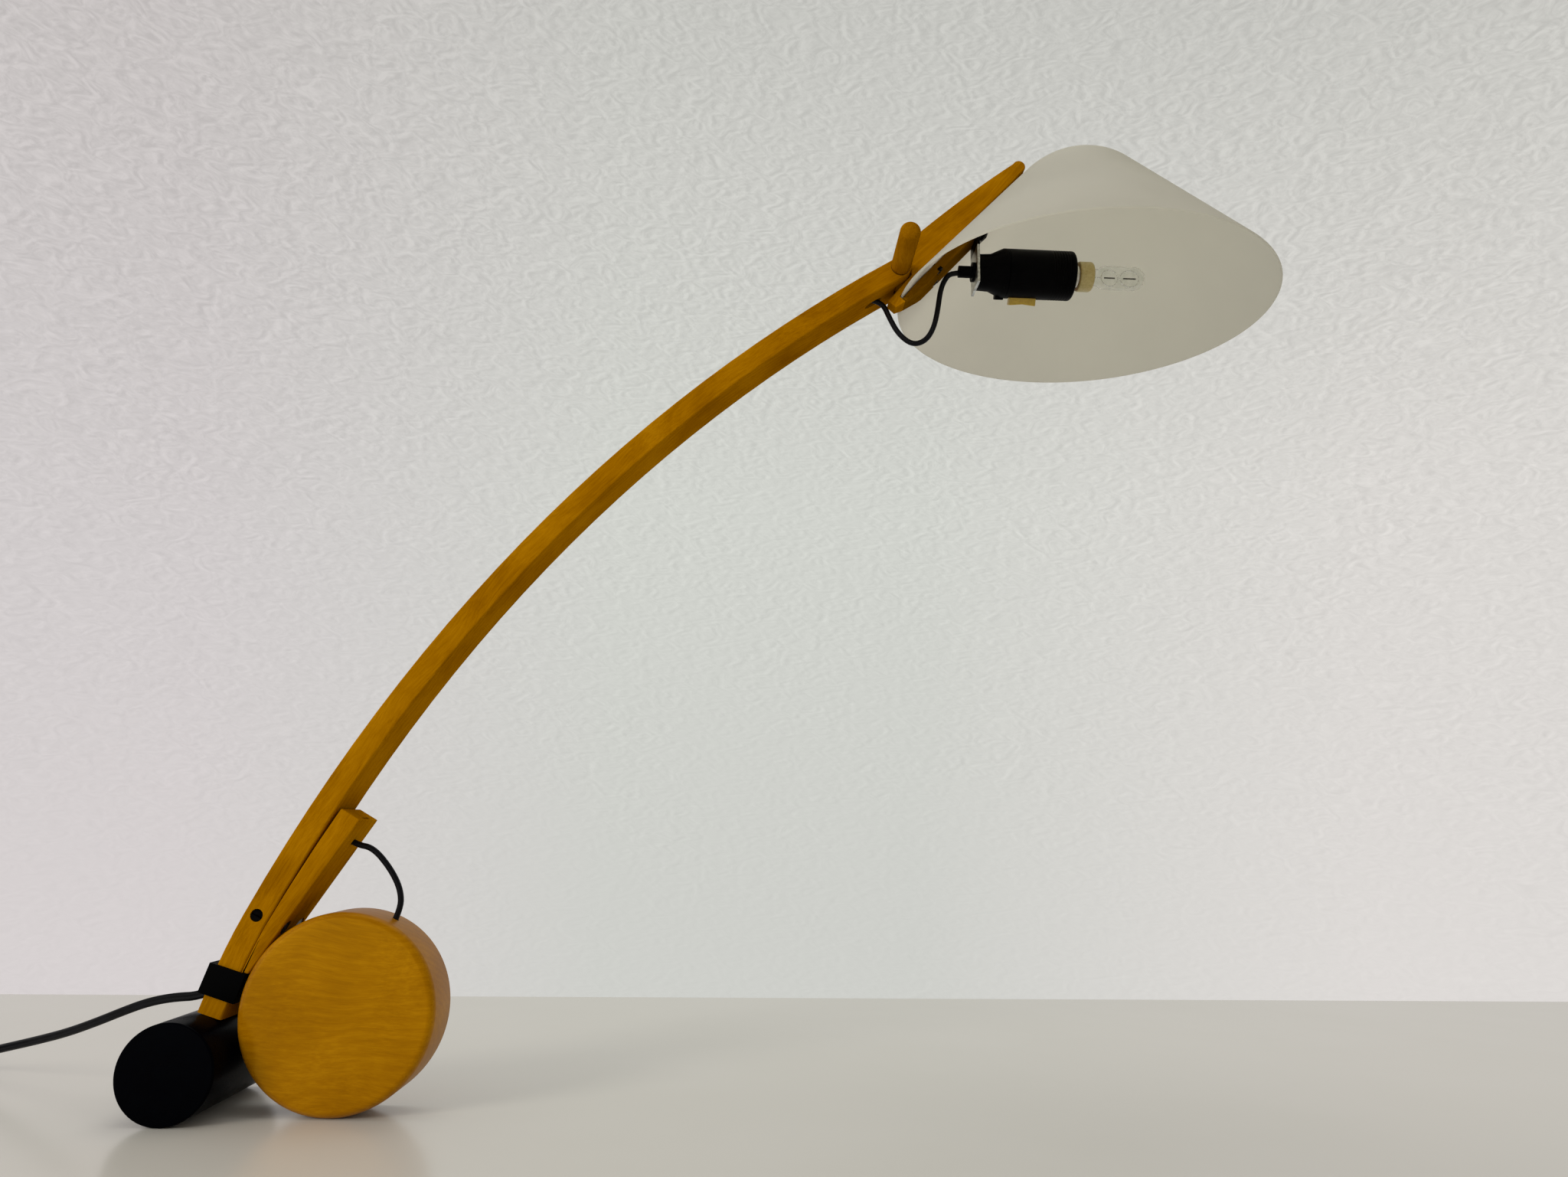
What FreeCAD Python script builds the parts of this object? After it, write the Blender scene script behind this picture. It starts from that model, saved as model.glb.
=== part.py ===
import FreeCAD, Part
import math
import os
import re
from types import SimpleNamespace
from FreeCAD import Placement, Rotation, Vector

# Magnetic balance lamp. X runs from the counterweight towards the shade, Y runs away from the
# handle's side, Z is up. The origin lies on the table, under the axle line of the wheel.
# All sizes are millimetres or degrees.

SIZES = {
    # Counterweight, lying on the table behind the wheel
    "weight_radius": 24,
    "weight_length": 87,
    "weight_offset": 4.5,
    "weight_bevel": 0.8,
    "weight_gap": 2.55,
    # Arm: straight foot, short lower bend, long main bend up to the pivot
    "arm_width": 29,
    "arm_depth": 13.2,
    "arm_edge": 1.2,
    "foot_angle": 73.5,
    "foot_length": 15,
    "foot_gap": 0.1,
    "lower_radius": 260,
    "lower_turn": 7.8,
    "main_radius": 899.6,
    "main_turn": 33.3,
    "stud_radius": 3,
    "stud_in_arm": 8,
    "stud_in_weight": 14,
    # Moulded band round the arm and the tail of the track
    "band_start": 9.5,
    "band_length": 15.2,
    "band_back": 3,
    "band_wall": 1.6,
    "band_screw_radius": 1.2,
    "band_screw_head": 2.4,
    "band_screw_height": 2.2,
    "band_screw_setback": 3.2,
    "band_overcut": 1,
    # Track under the arm, on which the wheel bears
    "track_angle": 58.5,
    "track_length": 83,
    "track_gap": 1.9,
    "track_tail": 1.7,
    "track_seat": 0.15,
    "wheel_clearance": 0.3,
    "strip_length": 58,
    "strip_width": 9,
    "strip_thickness": 1.5,
    "strip_cover": 1.2,
    "nut_along": 2.8,
    "nut_radius": 3.25,
    "nut_inner_end": 5.5,
    "nut_screw_radius": 2,
    "nut_screw_head": 3.8,
    "nut_screw_head_height": 2.2,
    "nut_screw_offset": 8.5,
    "nut_screw_recess": 0.3,
    # Tether between track and wheel
    "tether_radius": 1.55,
    "tether_along": 69,
    "tether_depth": 4.5,
    "tether_angle": 65.7,
    "tether_rise": 4.4,
    "tether_drop": 2.6,
    "tether_stop_gap": 0.2,
    "tether_stop_radius": 3,
    "tether_stop_length": 5,
    # Wheel
    "wheel_radius": 50,
    "wheel_width": 34,
    "wheel_offset": -3,
    "wheel_edge": 1.5,
    "wheel_face": 6,
    "wheel_rim": 10,
    "back_radius": 46,
    "back_thickness": 5,
    "core_radius": 32,
    "core_thickness": 16,
    "wheel_screw_radius": 1.25,
    "wheel_screw_head": 2.4,
    "wheel_screw_head_height": 1.5,
    "wheel_screw_length": 12,
    "wheel_screw_count": 3,
    "first_screw_angle": 90,
    "back_screw_circle": 43,
    "core_screw_circle": 20,
    "core_screw_radius": 2,
    "core_screw_head": 3.8,
    "core_screw_head_height": 2.2,
    "core_screw_bite": 4.5,
    "magnet_length": 20,
    "magnet_width": 10,
    "magnet_thickness": 6,
    "magnet_distance": 44,
    "yoke_length": 25,
    "yoke_thickness": 1.5,
    # Pivot and handle
    "slot_width": 10.2,
    "slot_radius": 9.5,
    "tongue_width": 9,
    "tongue_radius": 7,
    "nose_clearance": 0.6,
    "bolt_radius": 2.5,
    "bolt_head_radius": 4.6,
    "bolt_head_height": 3,
    "friction_washer_radius": 5.5,
    "friction_washer_thickness": 0.5,
    "handle_washer_thickness": 0.8,
    "handle_radius": 6,
    "handle_length": 42,
    "handle_round": 4.5,
    "insert_radius": 4,
    "insert_length": 14,
    # Head: finger outside the shade and leaf inside it; s runs up the shade's slope, n out of it
    "shade_slope": 48.6,
    "pivot_along": 10.9,
    "pivot_out": 10.9,
    "head_width": 20,
    "finger_length": 121,
    "finger_tip": 116,
    "finger_tip_height": 8,
    "finger_shoulder": 36,
    "finger_height": 19.4,
    "finger_crown": 1.1,
    "finger_start": 14.5,
    "finger_seat": 0.3,
    "kerf_depth": 0.4,
    "toe_reach": 6.5,
    "toe_height": 3.5,
    "toe_drop": 2.5,
    "toe_half_width": 4.5,
    "toe_taper_end": 12,
    "leaf_length": 77,
    "leaf_seat": 2.1,
    "leaf_thickness": 5,
    "leaf_bevel": 15,
    "leaf_nose": 2.4,
    "clamp_along": 29,
    "clamp_spacing": 14.8,
    "clamp_radius": 1.5,
    "clamp_head": 2.9,
    "clamp_head_height": 1.8,
    "clamp_bite": 11,
    # Shade: cone with a rounded crown
    "rim_radius": 114,
    "crown_radius": 50,
    "shade_wall": 1.2,
    # Bracket and lampholder; the lampholder's axis is level and points along +X
    "plate_reach": 47.1,
    "holder_rise": 21.6,
    "plate_thickness": 1.6,
    "plate_drop": 11.2,
    "bracket_screw_along": 70,
    "bracket_screw_head": 3.2,
    "bracket_screw_head_height": 2,
    "bracket_screw_bite": 4,
    "nipple_radius": 4.95,
    "lead_radius": 1.5,
    "grip_radius": 3.65,
    "grip_length": 8.2,
    "grip_flange_radius": 6,
    "grip_flange": 1.7,
    "grip_nut_radius": 7.5,
    "grip_nut_height": 2.5,
    "neck_radius": 11.5,
    "neck_length": 8.5,
    "cap_slope_length": 8,
    "cap_length": 18,
    "barrel_radius": 15,
    "barrel_length": 46.2,
    "barrel_wall": 1.8,
    "barrel_mouth": 9.7,
    "insert_outer_radius": 13,
    "insert_bore": 8.4,
    "insert_depth": 22,
    "insert_floor": 2,
    "shell_length": 17,
    "shell_wall": 0.5,
    "contact_radius": 2.8,
    "contact_bar_length": 19,
    "contact_bar_width": 6,
    "contact_bar_thickness": 2,
    "contact_bar_offset": 9.5,
    # Rocker switch at the barrel's underside, turned towards its rear
    "switch_turn": 28,
    "rocker_length": 16.2,
    "rocker_width": 7.6,
    "rocker_centre": 11.6,
    "rocker_pivot": 9.7,
    "rocker_drop": 9.2,
    "rocker_dip": 0.8,
    "rocker_gap": 0.8,
    "rocker_pin_radius": 0.9,
    # Lamp
    "lamp_cap_radius": 7,
    "lamp_cap_length": 21,
    "lamp_cap_wall": 0.5,
    "lamp_tip_length": 1.2,
    "collar_radius": 9.15,
    "collar_length": 9.4,
    "collar_gap": 1.7,
    "capsule_radius": 7.3,
    "capsule_neck_radius": 5,
    "capsule_neck_length": 3,
    "capsule_length": 33.6,
    "capsule_wall": 0.9,
    "filament_loop": 3.9,
    "filament_wire": 0.35,
    "filament_first": 12.1,
    "filament_pitch": 11.5,
    # Leads and mains cord
    "wire_bore": 2.3,
    "exit_turn": 1.67,
    "lead_start_turn": 3.6,
    "exit_angle": -12,
    "exit_length": 13,
    "entry_angle": 25,
    "entry_depth": 6.5,
    "cord_radius": 2.2,
    "cord_bore": 2.5,
    "coil_middle": 25.2,
    "coil_turns": 5,
    "coil_pitch": 4.7,
    "coil_layer": 4.6,
    "coil_edge": 2,
    "coil_start_x": -257,
    "coil_start_y": 80.5,
    "coil_start_angle": 65,
    "coil_leave_angle": 150,
    # Flat two-pin mains plug
    "plug_back_x": -298,
    "plug_back_y": -14,
    "plug_length": 36,
    "plug_width": 35,
    "plug_height": 14,
    "plug_edge": 3,
    "pin_radius": 2,
    "pin_length": 19,
    "pin_spacing": 19,
    "pin_root_radius": 1.6,
    "pin_set_in": 6,
    "pin_fit": 0.01,
    # Clearances
    "fit": 0.05,
    "loose_fit": 0.1,
}

doc = FreeCAD.newDocument("MagneticBalanceLamp")
sheet = doc.addObject("Spreadsheet::Sheet", "Sizes")
for row, (name, number) in enumerate(SIZES.items(), start=1):
    sheet.set(f"A{row}", name)
    sheet.set(f"B{row}", str(number))
    sheet.setAlias(f"B{row}", name)
doc.recompute()
d = SimpleNamespace(**{name: float(sheet.get(name)) for name in SIZES})
nodes = {}


# ---------------------------------------------------------------- directions and frames

ALONG_X = Vector(1, 0, 0)
ALONG_Y = Vector(0, 1, 0)
ALONG_Z = Vector(0, 0, 1)
UPRIGHT = Rotation(ALONG_X, 90)


def heading(degrees):
    """Unit vector in the XZ plane, measured from +X towards +Z."""
    return Vector(math.cos(math.radians(degrees)), 0, math.sin(math.radians(degrees)))


def left_of(degrees):
    return heading(degrees + 90)


def side_frame(origin, degrees=0, back=0):
    """Local X along the heading, local Y to its left, local Z towards -Y, from y = back."""
    start = Vector(origin.x, back, origin.z)
    return Placement(start, UPRIGHT * Rotation(ALONG_Z, degrees))


def pointing(origin, direction):
    """Local Z along the direction."""
    return Placement(origin, Rotation(ALONG_Z, direction))


# ---------------------------------------------------------------- document helpers


def bound(expression):
    """Puts the sheet's name before each size in an expression."""
    return re.sub(r"[a-z_]{2,}", lambda word: f"Sizes.{word.group()}", expression)


def bind(thing, sizes):
    for name, expression in sizes.items():
        thing.setExpression(name, bound(expression))
    return thing


def primitive(kind, name, place, **sizes):
    thing = doc.addObject(f"Part::{kind}", name)
    thing.Placement = place
    return bind(thing, sizes)


def box(name, place, length, width, height):
    return primitive("Box", name, place, Length=length, Width=width, Height=height)


def cylinder(name, place, radius, height):
    return primitive("Cylinder", name, place, Radius=radius, Height=height)


def cone(name, place, bottom, top, height):
    return primitive("Cone", name, place, Radius1=bottom, Radius2=top, Height=height)


def ring_sector(name, centre, start, outer, inner, turn, width):
    """Part of a flat ring in the XZ plane, centred on y = 0."""
    place = side_frame(centre, start, back=d.arm_width / 2)
    disc = primitive("Cylinder", name + "_disc", place, Radius=outer, Height=width, Angle=turn)
    hole = primitive("Cylinder", name + "_hole", place, Radius=inner, Height=width, Angle=turn)
    return cut(name, disc, hole)


def fuse(name, *pieces):
    thing = doc.addObject("Part::MultiFuse", name)
    thing.Shapes = list(pieces)
    thing.Refine = True
    return thing


def cut(name, base, *tools):
    thing = doc.addObject("Part::Cut", name)
    thing.Base = base
    thing.Tool = tools[0] if len(tools) == 1 else fuse(name + "_tools", *tools)
    thing.Refine = True
    return thing


def group(name, *pieces):
    """Several separate solids in one node."""
    thing = doc.addObject("Part::Compound", name)
    thing.Links = list(pieces)
    return thing


def fillet(name, base, size, chosen):
    """Rounds the edges that chosen(edge) picks."""
    doc.recompute()
    thing = doc.addObject("Part::Fillet", name)
    thing.Base = base
    edges = base.Shape.Edges
    thing.Edges = [(i, size, size) for i, edge in enumerate(edges, start=1) if chosen(edge)]
    return thing


def chamfer(name, base, size, chosen):
    doc.recompute()
    thing = doc.addObject("Part::Chamfer", name)
    thing.Base = base
    edges = base.Shape.Edges
    thing.Edges = [(i, size, size) for i, edge in enumerate(edges, start=1) if chosen(edge)]
    return thing


def node(thing):
    nodes[thing.Name] = thing
    thing.Label = thing.Name
    return thing


def sketch_on(body, plane, outline):
    """Closed outline of (x, y) corners; a corner written ((x, y), (x, y)) is an arc's middle and end."""
    sketch = body.newObject("Sketcher::SketchObject", body.Name + "_outline")
    origin_planes = body.Origin.OriginFeatures
    sketch.AttachmentSupport = [(next(p for p in origin_planes if p.Role == plane), "")]
    sketch.MapMode = "FlatFace"
    ends = [corner[1] if isinstance(corner[0], tuple) else corner for corner in outline]
    for i, corner in enumerate(outline):
        start = Vector(*ends[i - 1], 0)
        end = Vector(*ends[i], 0)
        if isinstance(corner[0], tuple):
            sketch.addGeometry(Part.Arc(start, Vector(*corner[0], 0), end))
        else:
            sketch.addGeometry(Part.LineSegment(start, end))
    return sketch


def padded(name, plane, outline, thickness, place=Placement()):
    """Body padded equally to both sides of the sketch."""
    body = doc.addObject("PartDesign::Body", name)
    sketch = sketch_on(body, plane, outline)
    pad = body.newObject("PartDesign::Pad", name + "_pad")
    pad.Profile = sketch
    pad.SideType = "Symmetric"
    bind(pad, {"Length": thickness})
    sketch.Visibility = False
    body.Placement = place
    return body


def turned(name, outline, place):
    """Body turned about its local Z; the outline's corners are (radius, height)."""
    body = doc.addObject("PartDesign::Body", name)
    sketch = sketch_on(body, "XZ_Plane", outline)
    turn = body.newObject("PartDesign::Revolution", name + "_turned")
    turn.Profile = sketch
    turn.ReferenceAxis = (sketch, ["V_Axis"])
    turn.Angle = 360
    body.Placement = place
    return body


# ---------------------------------------------------------------- cords


def tangent_arc(before, corner, after):
    """(start, middle, end, radius) of a corner's arc: 0.45 of the shorter run, over tan(turn / 2)."""
    arriving = (before - corner).normalize()
    leaving = (after - corner).normalize()
    half_turn = (math.pi - arriving.getAngle(leaving)) / 2
    reach = 0.45 * min((before - corner).Length, (after - corner).Length)
    radius = reach / math.tan(half_turn)
    inward = (arriving + leaving).normalize()
    middle = corner + inward * (radius / math.cos(half_turn) - radius)
    return corner + arriving * reach, middle, corner + leaving * reach, radius


def cord_path(points):
    """Straight runs joined by tangent arcs, and the arcs' radii."""
    edges = []
    radii = []
    here = points[0]
    for before, corner, after in zip(points, points[1:], points[2:]):
        start, middle, end, radius = tangent_arc(before, corner, after)
        edges.append(Part.LineSegment(here, start).toShape())
        edges.append(Part.Arc(start, middle, end).toShape())
        radii.append(radius)
        here = end
    edges.append(Part.LineSegment(here, points[-1]).toShape())
    return Part.Wire(edges), radii


def tube(name, points, radius):
    """Round tube along a cord's path."""
    path, radii = cord_path(points)
    section = Part.Face(Part.Wire(Part.makeCircle(radius, points[0], points[1] - points[0])))
    thing = doc.addObject("Part::Feature", name)
    thing.Shape = path.makePipe(section)
    expected = math.pi * radius**2 * path.Length
    smallest = min(radii) / (2 * radius)
    print(
        f"{name}: length {path.Length:.1f}, volume ratio {thing.Shape.Volume / expected:.4f},",
        f"radii {[round(r, 1) for r in radii]}, smallest {smallest:.1f} diameters",
    )
    return thing


# ---------------------------------------------------------------- key points of the lamp

weight_spacing = math.sqrt(
    (d.wheel_radius + d.weight_radius + d.weight_gap) ** 2 - (d.wheel_radius - d.weight_radius) ** 2
)
weight_axis = Vector(-weight_spacing, 0, d.weight_radius)
wheel_axis = Vector(0, 0, d.wheel_radius)
foot = weight_axis + heading(d.foot_angle) * d.weight_radius
bend_start = foot + heading(d.foot_angle) * d.foot_length
lower_centre = bend_start - left_of(d.foot_angle) * d.lower_radius
mid_angle = d.foot_angle - d.lower_turn
bend_mid = lower_centre + left_of(mid_angle) * d.lower_radius
main_centre = bend_mid - left_of(mid_angle) * d.main_radius
end_angle = mid_angle - d.main_turn
pivot = main_centre + left_of(end_angle) * d.main_radius

up_slope = heading(d.shade_slope)
out_of_slope = left_of(d.shade_slope)
head_origin = pivot - up_slope * d.pivot_along - out_of_slope * d.pivot_out
shade_axis = head_origin + ALONG_X * d.rim_radius
plate_face = head_origin + Vector(d.plate_reach, 0, d.holder_rise)
half_width = d.arm_width / 2
half_depth = d.arm_depth / 2


def from_foot(along, right):
    """Point beside the foot's middle line."""
    return foot + heading(d.foot_angle) * along - left_of(d.foot_angle) * right


def on_main_bend(angle, inwards=0):
    """Point at that heading of the main bend, inwards towards its centre."""
    return main_centre + left_of(angle) * (d.main_radius - inwards)


def on_slope(along, out, y=0):
    """Point beside the shade's wall: along its slope, out of it, and y."""
    return head_origin + up_slope * along + out_of_slope * out + ALONG_Y * y


def head_frame(along, out, back=0):
    return side_frame(on_slope(along, out), d.shade_slope, back=back)


def holder_frame(depth):
    """Local Z along the lampholder's axis, from the bracket plate's outer face."""
    start = plate_face + ALONG_X * (d.plate_thickness + depth)
    return Placement(start, Rotation(ALONG_Y, 90))


def switch_side(place):
    """The place turned with the switch about the lampholder's axis."""
    turn = Placement(Vector(), Rotation(ALONG_X, d.switch_turn), plate_face)
    return turn * place


def on_track(along, above=0):
    """Point on the track's underside, along it from the wheel's contact, and above it into the wood."""
    contact = wheel_axis + left_of(d.track_angle) * (d.wheel_radius + d.wheel_clearance)
    return contact + heading(d.track_angle) * along + left_of(d.track_angle) * above


# ---------------------------------------------------------------- counterweight and arm


def counterweight():
    back = Vector(weight_axis.x, 0, weight_axis.z)
    place = side_frame(back, back=d.weight_offset + d.weight_length / 2)
    bar = cylinder("weight_bar", place, "weight_radius", "weight_length")
    bevelled = chamfer("weight_bevelled", bar, d.weight_bevel, lambda e: e.Length > 6 * d.weight_radius)
    start = foot - heading(d.foot_angle) * (d.stud_in_weight + d.fit)
    hole = cylinder(
        "weight_hole",
        pointing(start, heading(d.foot_angle)),
        "stud_radius + fit",
        "stud_in_weight + weight_bevel",
    )
    node(cut("counterweight", bevelled, hole))
    start = foot - heading(d.foot_angle) * d.stud_in_weight
    place = pointing(start, heading(d.foot_angle))
    node(cylinder("foot_stud", place, "stud_radius", "stud_in_weight + stud_in_arm"))


def wire_route():
    """Middle line of the wire inside the arm, from the mains entry to the mouth under the pivot."""
    entry = bend_start - heading(d.entry_angle) * d.entry_depth
    points = [entry, bend_start]
    steps = 2
    for i in range(steps):
        angle = d.foot_angle - d.lower_turn * (i + 0.5) / steps
        reach = d.lower_radius / math.cos(math.radians(d.lower_turn / steps / 2))
        points.append(lower_centre + left_of(angle) * reach)
    steps = 10
    sweep = d.main_turn - d.lead_start_turn
    for i in range(steps):
        angle = mid_angle - sweep * (i + 0.5) / steps
        reach = d.main_radius / math.cos(math.radians(sweep / steps / 2))
        points.append(main_centre + left_of(angle) * reach)
    return points + [on_main_bend(end_angle + d.lead_start_turn)]


def wire_exit():
    """Where the wire leaves the arm's middle line, and the mouth in the arm's underside."""
    corner = on_main_bend(end_angle + d.exit_turn)
    return [corner, corner + heading(d.exit_angle) * d.exit_length]


def nut_centre():
    return on_main_bend(mid_angle - math.degrees(d.nut_along / d.main_radius))


def nut_direction():
    """From a cross nut towards the track, square to the arm."""
    return -left_of(mid_angle - math.degrees(d.nut_along / d.main_radius))


def nut_to_underside():
    """Distance from a cross nut to the track's underside along its screw."""
    outward = -left_of(d.track_angle)
    return (on_track(0) - nut_centre()).dot(outward) / nut_direction().dot(outward)


def arm():
    corner = from_foot(d.foot_gap, half_depth)
    place = side_frame(corner, d.foot_angle, back=half_width)
    straight = box("arm_foot", place, "foot_length - foot_gap", "arm_depth", "arm_width")
    outer = "{0} + arm_depth / 2"
    inner = "{0} - arm_depth / 2"
    lower = ring_sector(
        "arm_lower_bend",
        lower_centre,
        mid_angle + 90,
        outer.format("lower_radius"),
        inner.format("lower_radius"),
        "lower_turn",
        "arm_width",
    )
    main = ring_sector(
        "arm_main_bend",
        main_centre,
        end_angle + 90,
        outer.format("main_radius"),
        inner.format("main_radius"),
        "main_turn",
        "arm_width",
    )
    nose = cylinder("arm_nose", side_frame(pivot, back=half_width), "arm_depth / 2", "arm_width")
    bar = fuse("arm_bar", straight, lower, main, nose)

    def is_long_edge(edge):
        return abs(edge.CenterOfMass.y) > half_width - d.fit and edge.Length > d.arm_depth + d.arm_edge

    rounded = fillet("arm_rounded", bar, d.arm_edge, is_long_edge)
    slot = cylinder("arm_slot", side_frame(pivot, back=d.slot_width / 2), "slot_radius", "slot_width")
    bore = cylinder("arm_pivot_bore", side_frame(pivot, back=half_width), "bolt_radius + fit", "arm_width")
    stud_place = pointing(foot, heading(d.foot_angle))
    stud_bore = cylinder("arm_stud_bore", stud_place, "stud_radius + fit", "stud_in_arm + fit")
    channel = tube("arm_channel", wire_route() + wire_exit(), d.wire_bore)
    entry = bend_start - heading(d.entry_angle) * d.entry_depth
    mouth = cylinder(
        "arm_cord_mouth", pointing(entry, -heading(d.entry_angle)), "cord_bore", "2 * arm_depth"
    )
    tools = [slot, bore, stud_bore, channel, mouth]
    for side, back in (("front", -d.nut_inner_end), ("rear", half_width)):
        place = side_frame(nut_centre(), back=back)
        bore = cylinder(f"arm_{side}_nut_bore", place, "nut_radius + fit", "arm_width / 2 - nut_inner_end")
        tools.append(bore)
    for i, y in enumerate((-d.nut_screw_offset, d.nut_screw_offset)):
        place = pointing(nut_centre() + ALONG_Y * y, nut_direction())
        tools.append(cylinder(f"arm_screw_bore_{i}", place, "nut_screw_radius + loose_fit", "arm_depth"))
    node(cut("arm", rounded, *tools))
    node(tube("arm_wire", wire_route(), d.lead_radius))


def band():
    back = half_width + d.band_wall + d.loose_fit
    front_wall = half_depth + d.track_tail + d.loose_fit + d.band_wall
    place = side_frame(from_foot(d.band_start, front_wall), d.foot_angle, back=back)
    block = box(
        "band_block",
        place,
        "band_length",
        "arm_depth + track_tail + loose_fit + band_wall + band_back",
        "arm_width + 2 * band_wall + 2 * loose_fit",
    )
    place = side_frame(
        from_foot(d.band_start - d.band_overcut, half_depth + d.track_tail + d.loose_fit),
        d.foot_angle,
        back=half_width + d.loose_fit,
    )
    opening = box(
        "band_opening",
        place,
        "band_length + 2 * band_overcut",
        "arm_depth + track_tail + 2 * loose_fit",
        "arm_width + 2 * loose_fit",
    )
    entry = bend_start - heading(d.entry_angle) * d.entry_depth
    place = pointing(entry, -heading(d.entry_angle))
    cord_way = cylinder("band_cord_way", place, "cord_bore", "3 * arm_depth")
    screw_along = d.band_start + d.band_length - d.band_screw_setback
    outside = from_foot(screw_along, -half_depth - d.band_back)
    inward = -left_of(d.foot_angle)
    hole = cylinder("band_screw_hole", pointing(outside, inward), "band_screw_radius + fit", "band_back")
    node(cut("arm_band", block, opening, cord_way, hole))
    head_start = outside - inward * d.band_screw_height
    head = cylinder("band_screw_pan", pointing(head_start, inward), "band_screw_head", "band_screw_height")
    shank = cylinder("band_screw_shank", pointing(outside, inward), "band_screw_radius", "band_back")
    node(fuse("band_screw", head, shank))


def track_outline():
    """Outline in the XZ plane: the underside, the tail inside the band, and the side along the arm."""
    band_top = d.band_start + d.band_length + d.loose_fit
    top = on_track(d.track_length)
    along_foot = heading(d.foot_angle)
    reach = (band_top - (on_track(0) - foot).dot(along_foot)) / heading(d.track_angle).dot(along_foot)
    shoulder = on_track(reach)
    tail_out = half_depth + d.track_tail
    tail_in = half_depth + d.track_seat
    tail_end = d.band_start + d.loose_fit
    lower_reach = d.lower_radius - half_depth - d.track_seat
    top_angle = math.degrees(math.atan2(top.z - main_centre.z, top.x - main_centre.x)) - 90
    end_inwards = half_depth + d.track_gap
    middle_inwards = half_depth + (d.track_gap + d.track_seat) / 2
    corners = [
        top,
        shoulder,
        from_foot(band_top, tail_out),
        from_foot(tail_end, tail_out),
        from_foot(tail_end, tail_in),
        from_foot(d.foot_length, tail_in),
    ]
    bend = (
        lower_centre + left_of(d.foot_angle - d.lower_turn / 2) * lower_reach,
        lower_centre + left_of(mid_angle) * lower_reach,
    )
    upper = (
        on_main_bend((mid_angle + top_angle) / 2, middle_inwards),
        on_main_bend(top_angle, end_inwards),
    )
    flat = [(p.x, p.z) for p in corners]
    flat += [tuple((p.x, p.z) for p in arc) for arc in (bend, upper)]
    return flat


def track():
    wedge = padded("track_wedge", "XZ_Plane", track_outline(), "arm_width")
    place = side_frame(on_track(d.nut_along, d.strip_cover), d.track_angle, back=d.strip_width / 2 + d.fit)
    slit = box(
        "track_slit", place, "track_length + nut_radius", "strip_thickness + 2 * fit", "strip_width + 2 * fit"
    )
    tether_way = pointing(on_track(d.tether_along, d.tether_depth), -left_of(d.track_angle))
    tether_hole = cylinder("track_tether_hole", tether_way, "tether_radius + fit", "2 * tether_depth")
    tools = [slit, tether_hole]
    screws = []
    nuts = []
    length = nut_to_underside() - d.nut_screw_recess
    down = nut_direction()
    for i, y in enumerate((-d.nut_screw_offset, d.nut_screw_offset)):
        centre = nut_centre() + ALONG_Y * y
        head_start = centre + down * (length - d.nut_screw_head_height)
        way = pointing(centre, down)
        tools.append(cylinder(f"track_way_{i}", way, "nut_screw_radius + loose_fit", "2 * arm_depth"))
        place = pointing(head_start, down)
        sink = cone(
            f"track_sink_{i}",
            place,
            "nut_screw_radius + loose_fit",
            "nut_screw_head + loose_fit",
            "nut_screw_head_height",
        )
        mouth = cylinder(
            f"track_sink_mouth_{i}",
            pointing(centre + down * length, down),
            "nut_screw_head + loose_fit",
            "nut_screw_head",
        )
        tools += [sink, mouth]
        head = cone(
            f"track_screw_head_{i}", place, "nut_screw_radius", "nut_screw_head", "nut_screw_head_height"
        )
        shank_start = centre - down * d.nut_screw_radius
        shank = primitive("Cylinder", f"track_screw_shank_{i}", pointing(shank_start, down))
        bind(shank, {"Radius": "nut_screw_radius"})
        shank.Height = (head_start - shank_start).Length
        screws.append(fuse(f"track_screw_{i}", head, shank))
    for side, back in (("front", -d.nut_inner_end), ("rear", half_width)):
        place = side_frame(nut_centre(), back=back)
        barrel = cylinder(f"nut_{side}", place, "nut_radius", "arm_width / 2 - nut_inner_end")
        centre = nut_centre() + ALONG_Y * (d.nut_screw_offset if side == "rear" else -d.nut_screw_offset)
        place = pointing(centre - down * d.arm_depth, down)
        thread = cylinder(f"nut_thread_{side}", place, "nut_screw_radius + fit", "2 * arm_depth")
        nuts.append(cut(f"cross_nut_{side}", barrel, thread))
    node(cut("track", wedge, *tools))
    node(group("track_screws", *screws))
    node(group("cross_nuts", *nuts))
    place = side_frame(
        on_track(d.nut_along + d.fit, d.strip_cover + d.fit), d.track_angle, back=d.strip_width / 2
    )
    node(box("track_steel", place, "strip_length", "strip_thickness", "strip_width"))


def tether_route():
    """From inside the track's hole, out in a slack bow, and into the wheel's rim."""
    inward = -heading(d.tether_angle)
    inside = wheel_axis - inward * (d.wheel_radius - d.wheel_rim - d.tether_stop_gap)
    leave = on_track(d.tether_along, -d.tether_drop)
    bow = [wheel_axis + Vector(*p) for p in ((4.2, 0, 82.6), (14.6, 0, 72), (21.6, 0, 60.5))]
    entry = wheel_axis - inward * (d.wheel_radius + d.tether_rise)
    return [on_track(d.tether_along, d.tether_depth), leave, *bow, entry, inside]


# ---------------------------------------------------------------- wheel


def around(angle, distance, y=0):
    """Point at that angle and distance about the wheel's axis."""
    return wheel_axis + heading(angle) * distance + ALONG_Y * y


def contact_angle():
    return d.track_angle + 90


def screw_angles():
    """Directions of the evenly spaced screws about the wheel's axis."""
    count = int(d.wheel_screw_count)
    return [d.first_screw_angle + 360 * i / count for i in range(count)]


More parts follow.
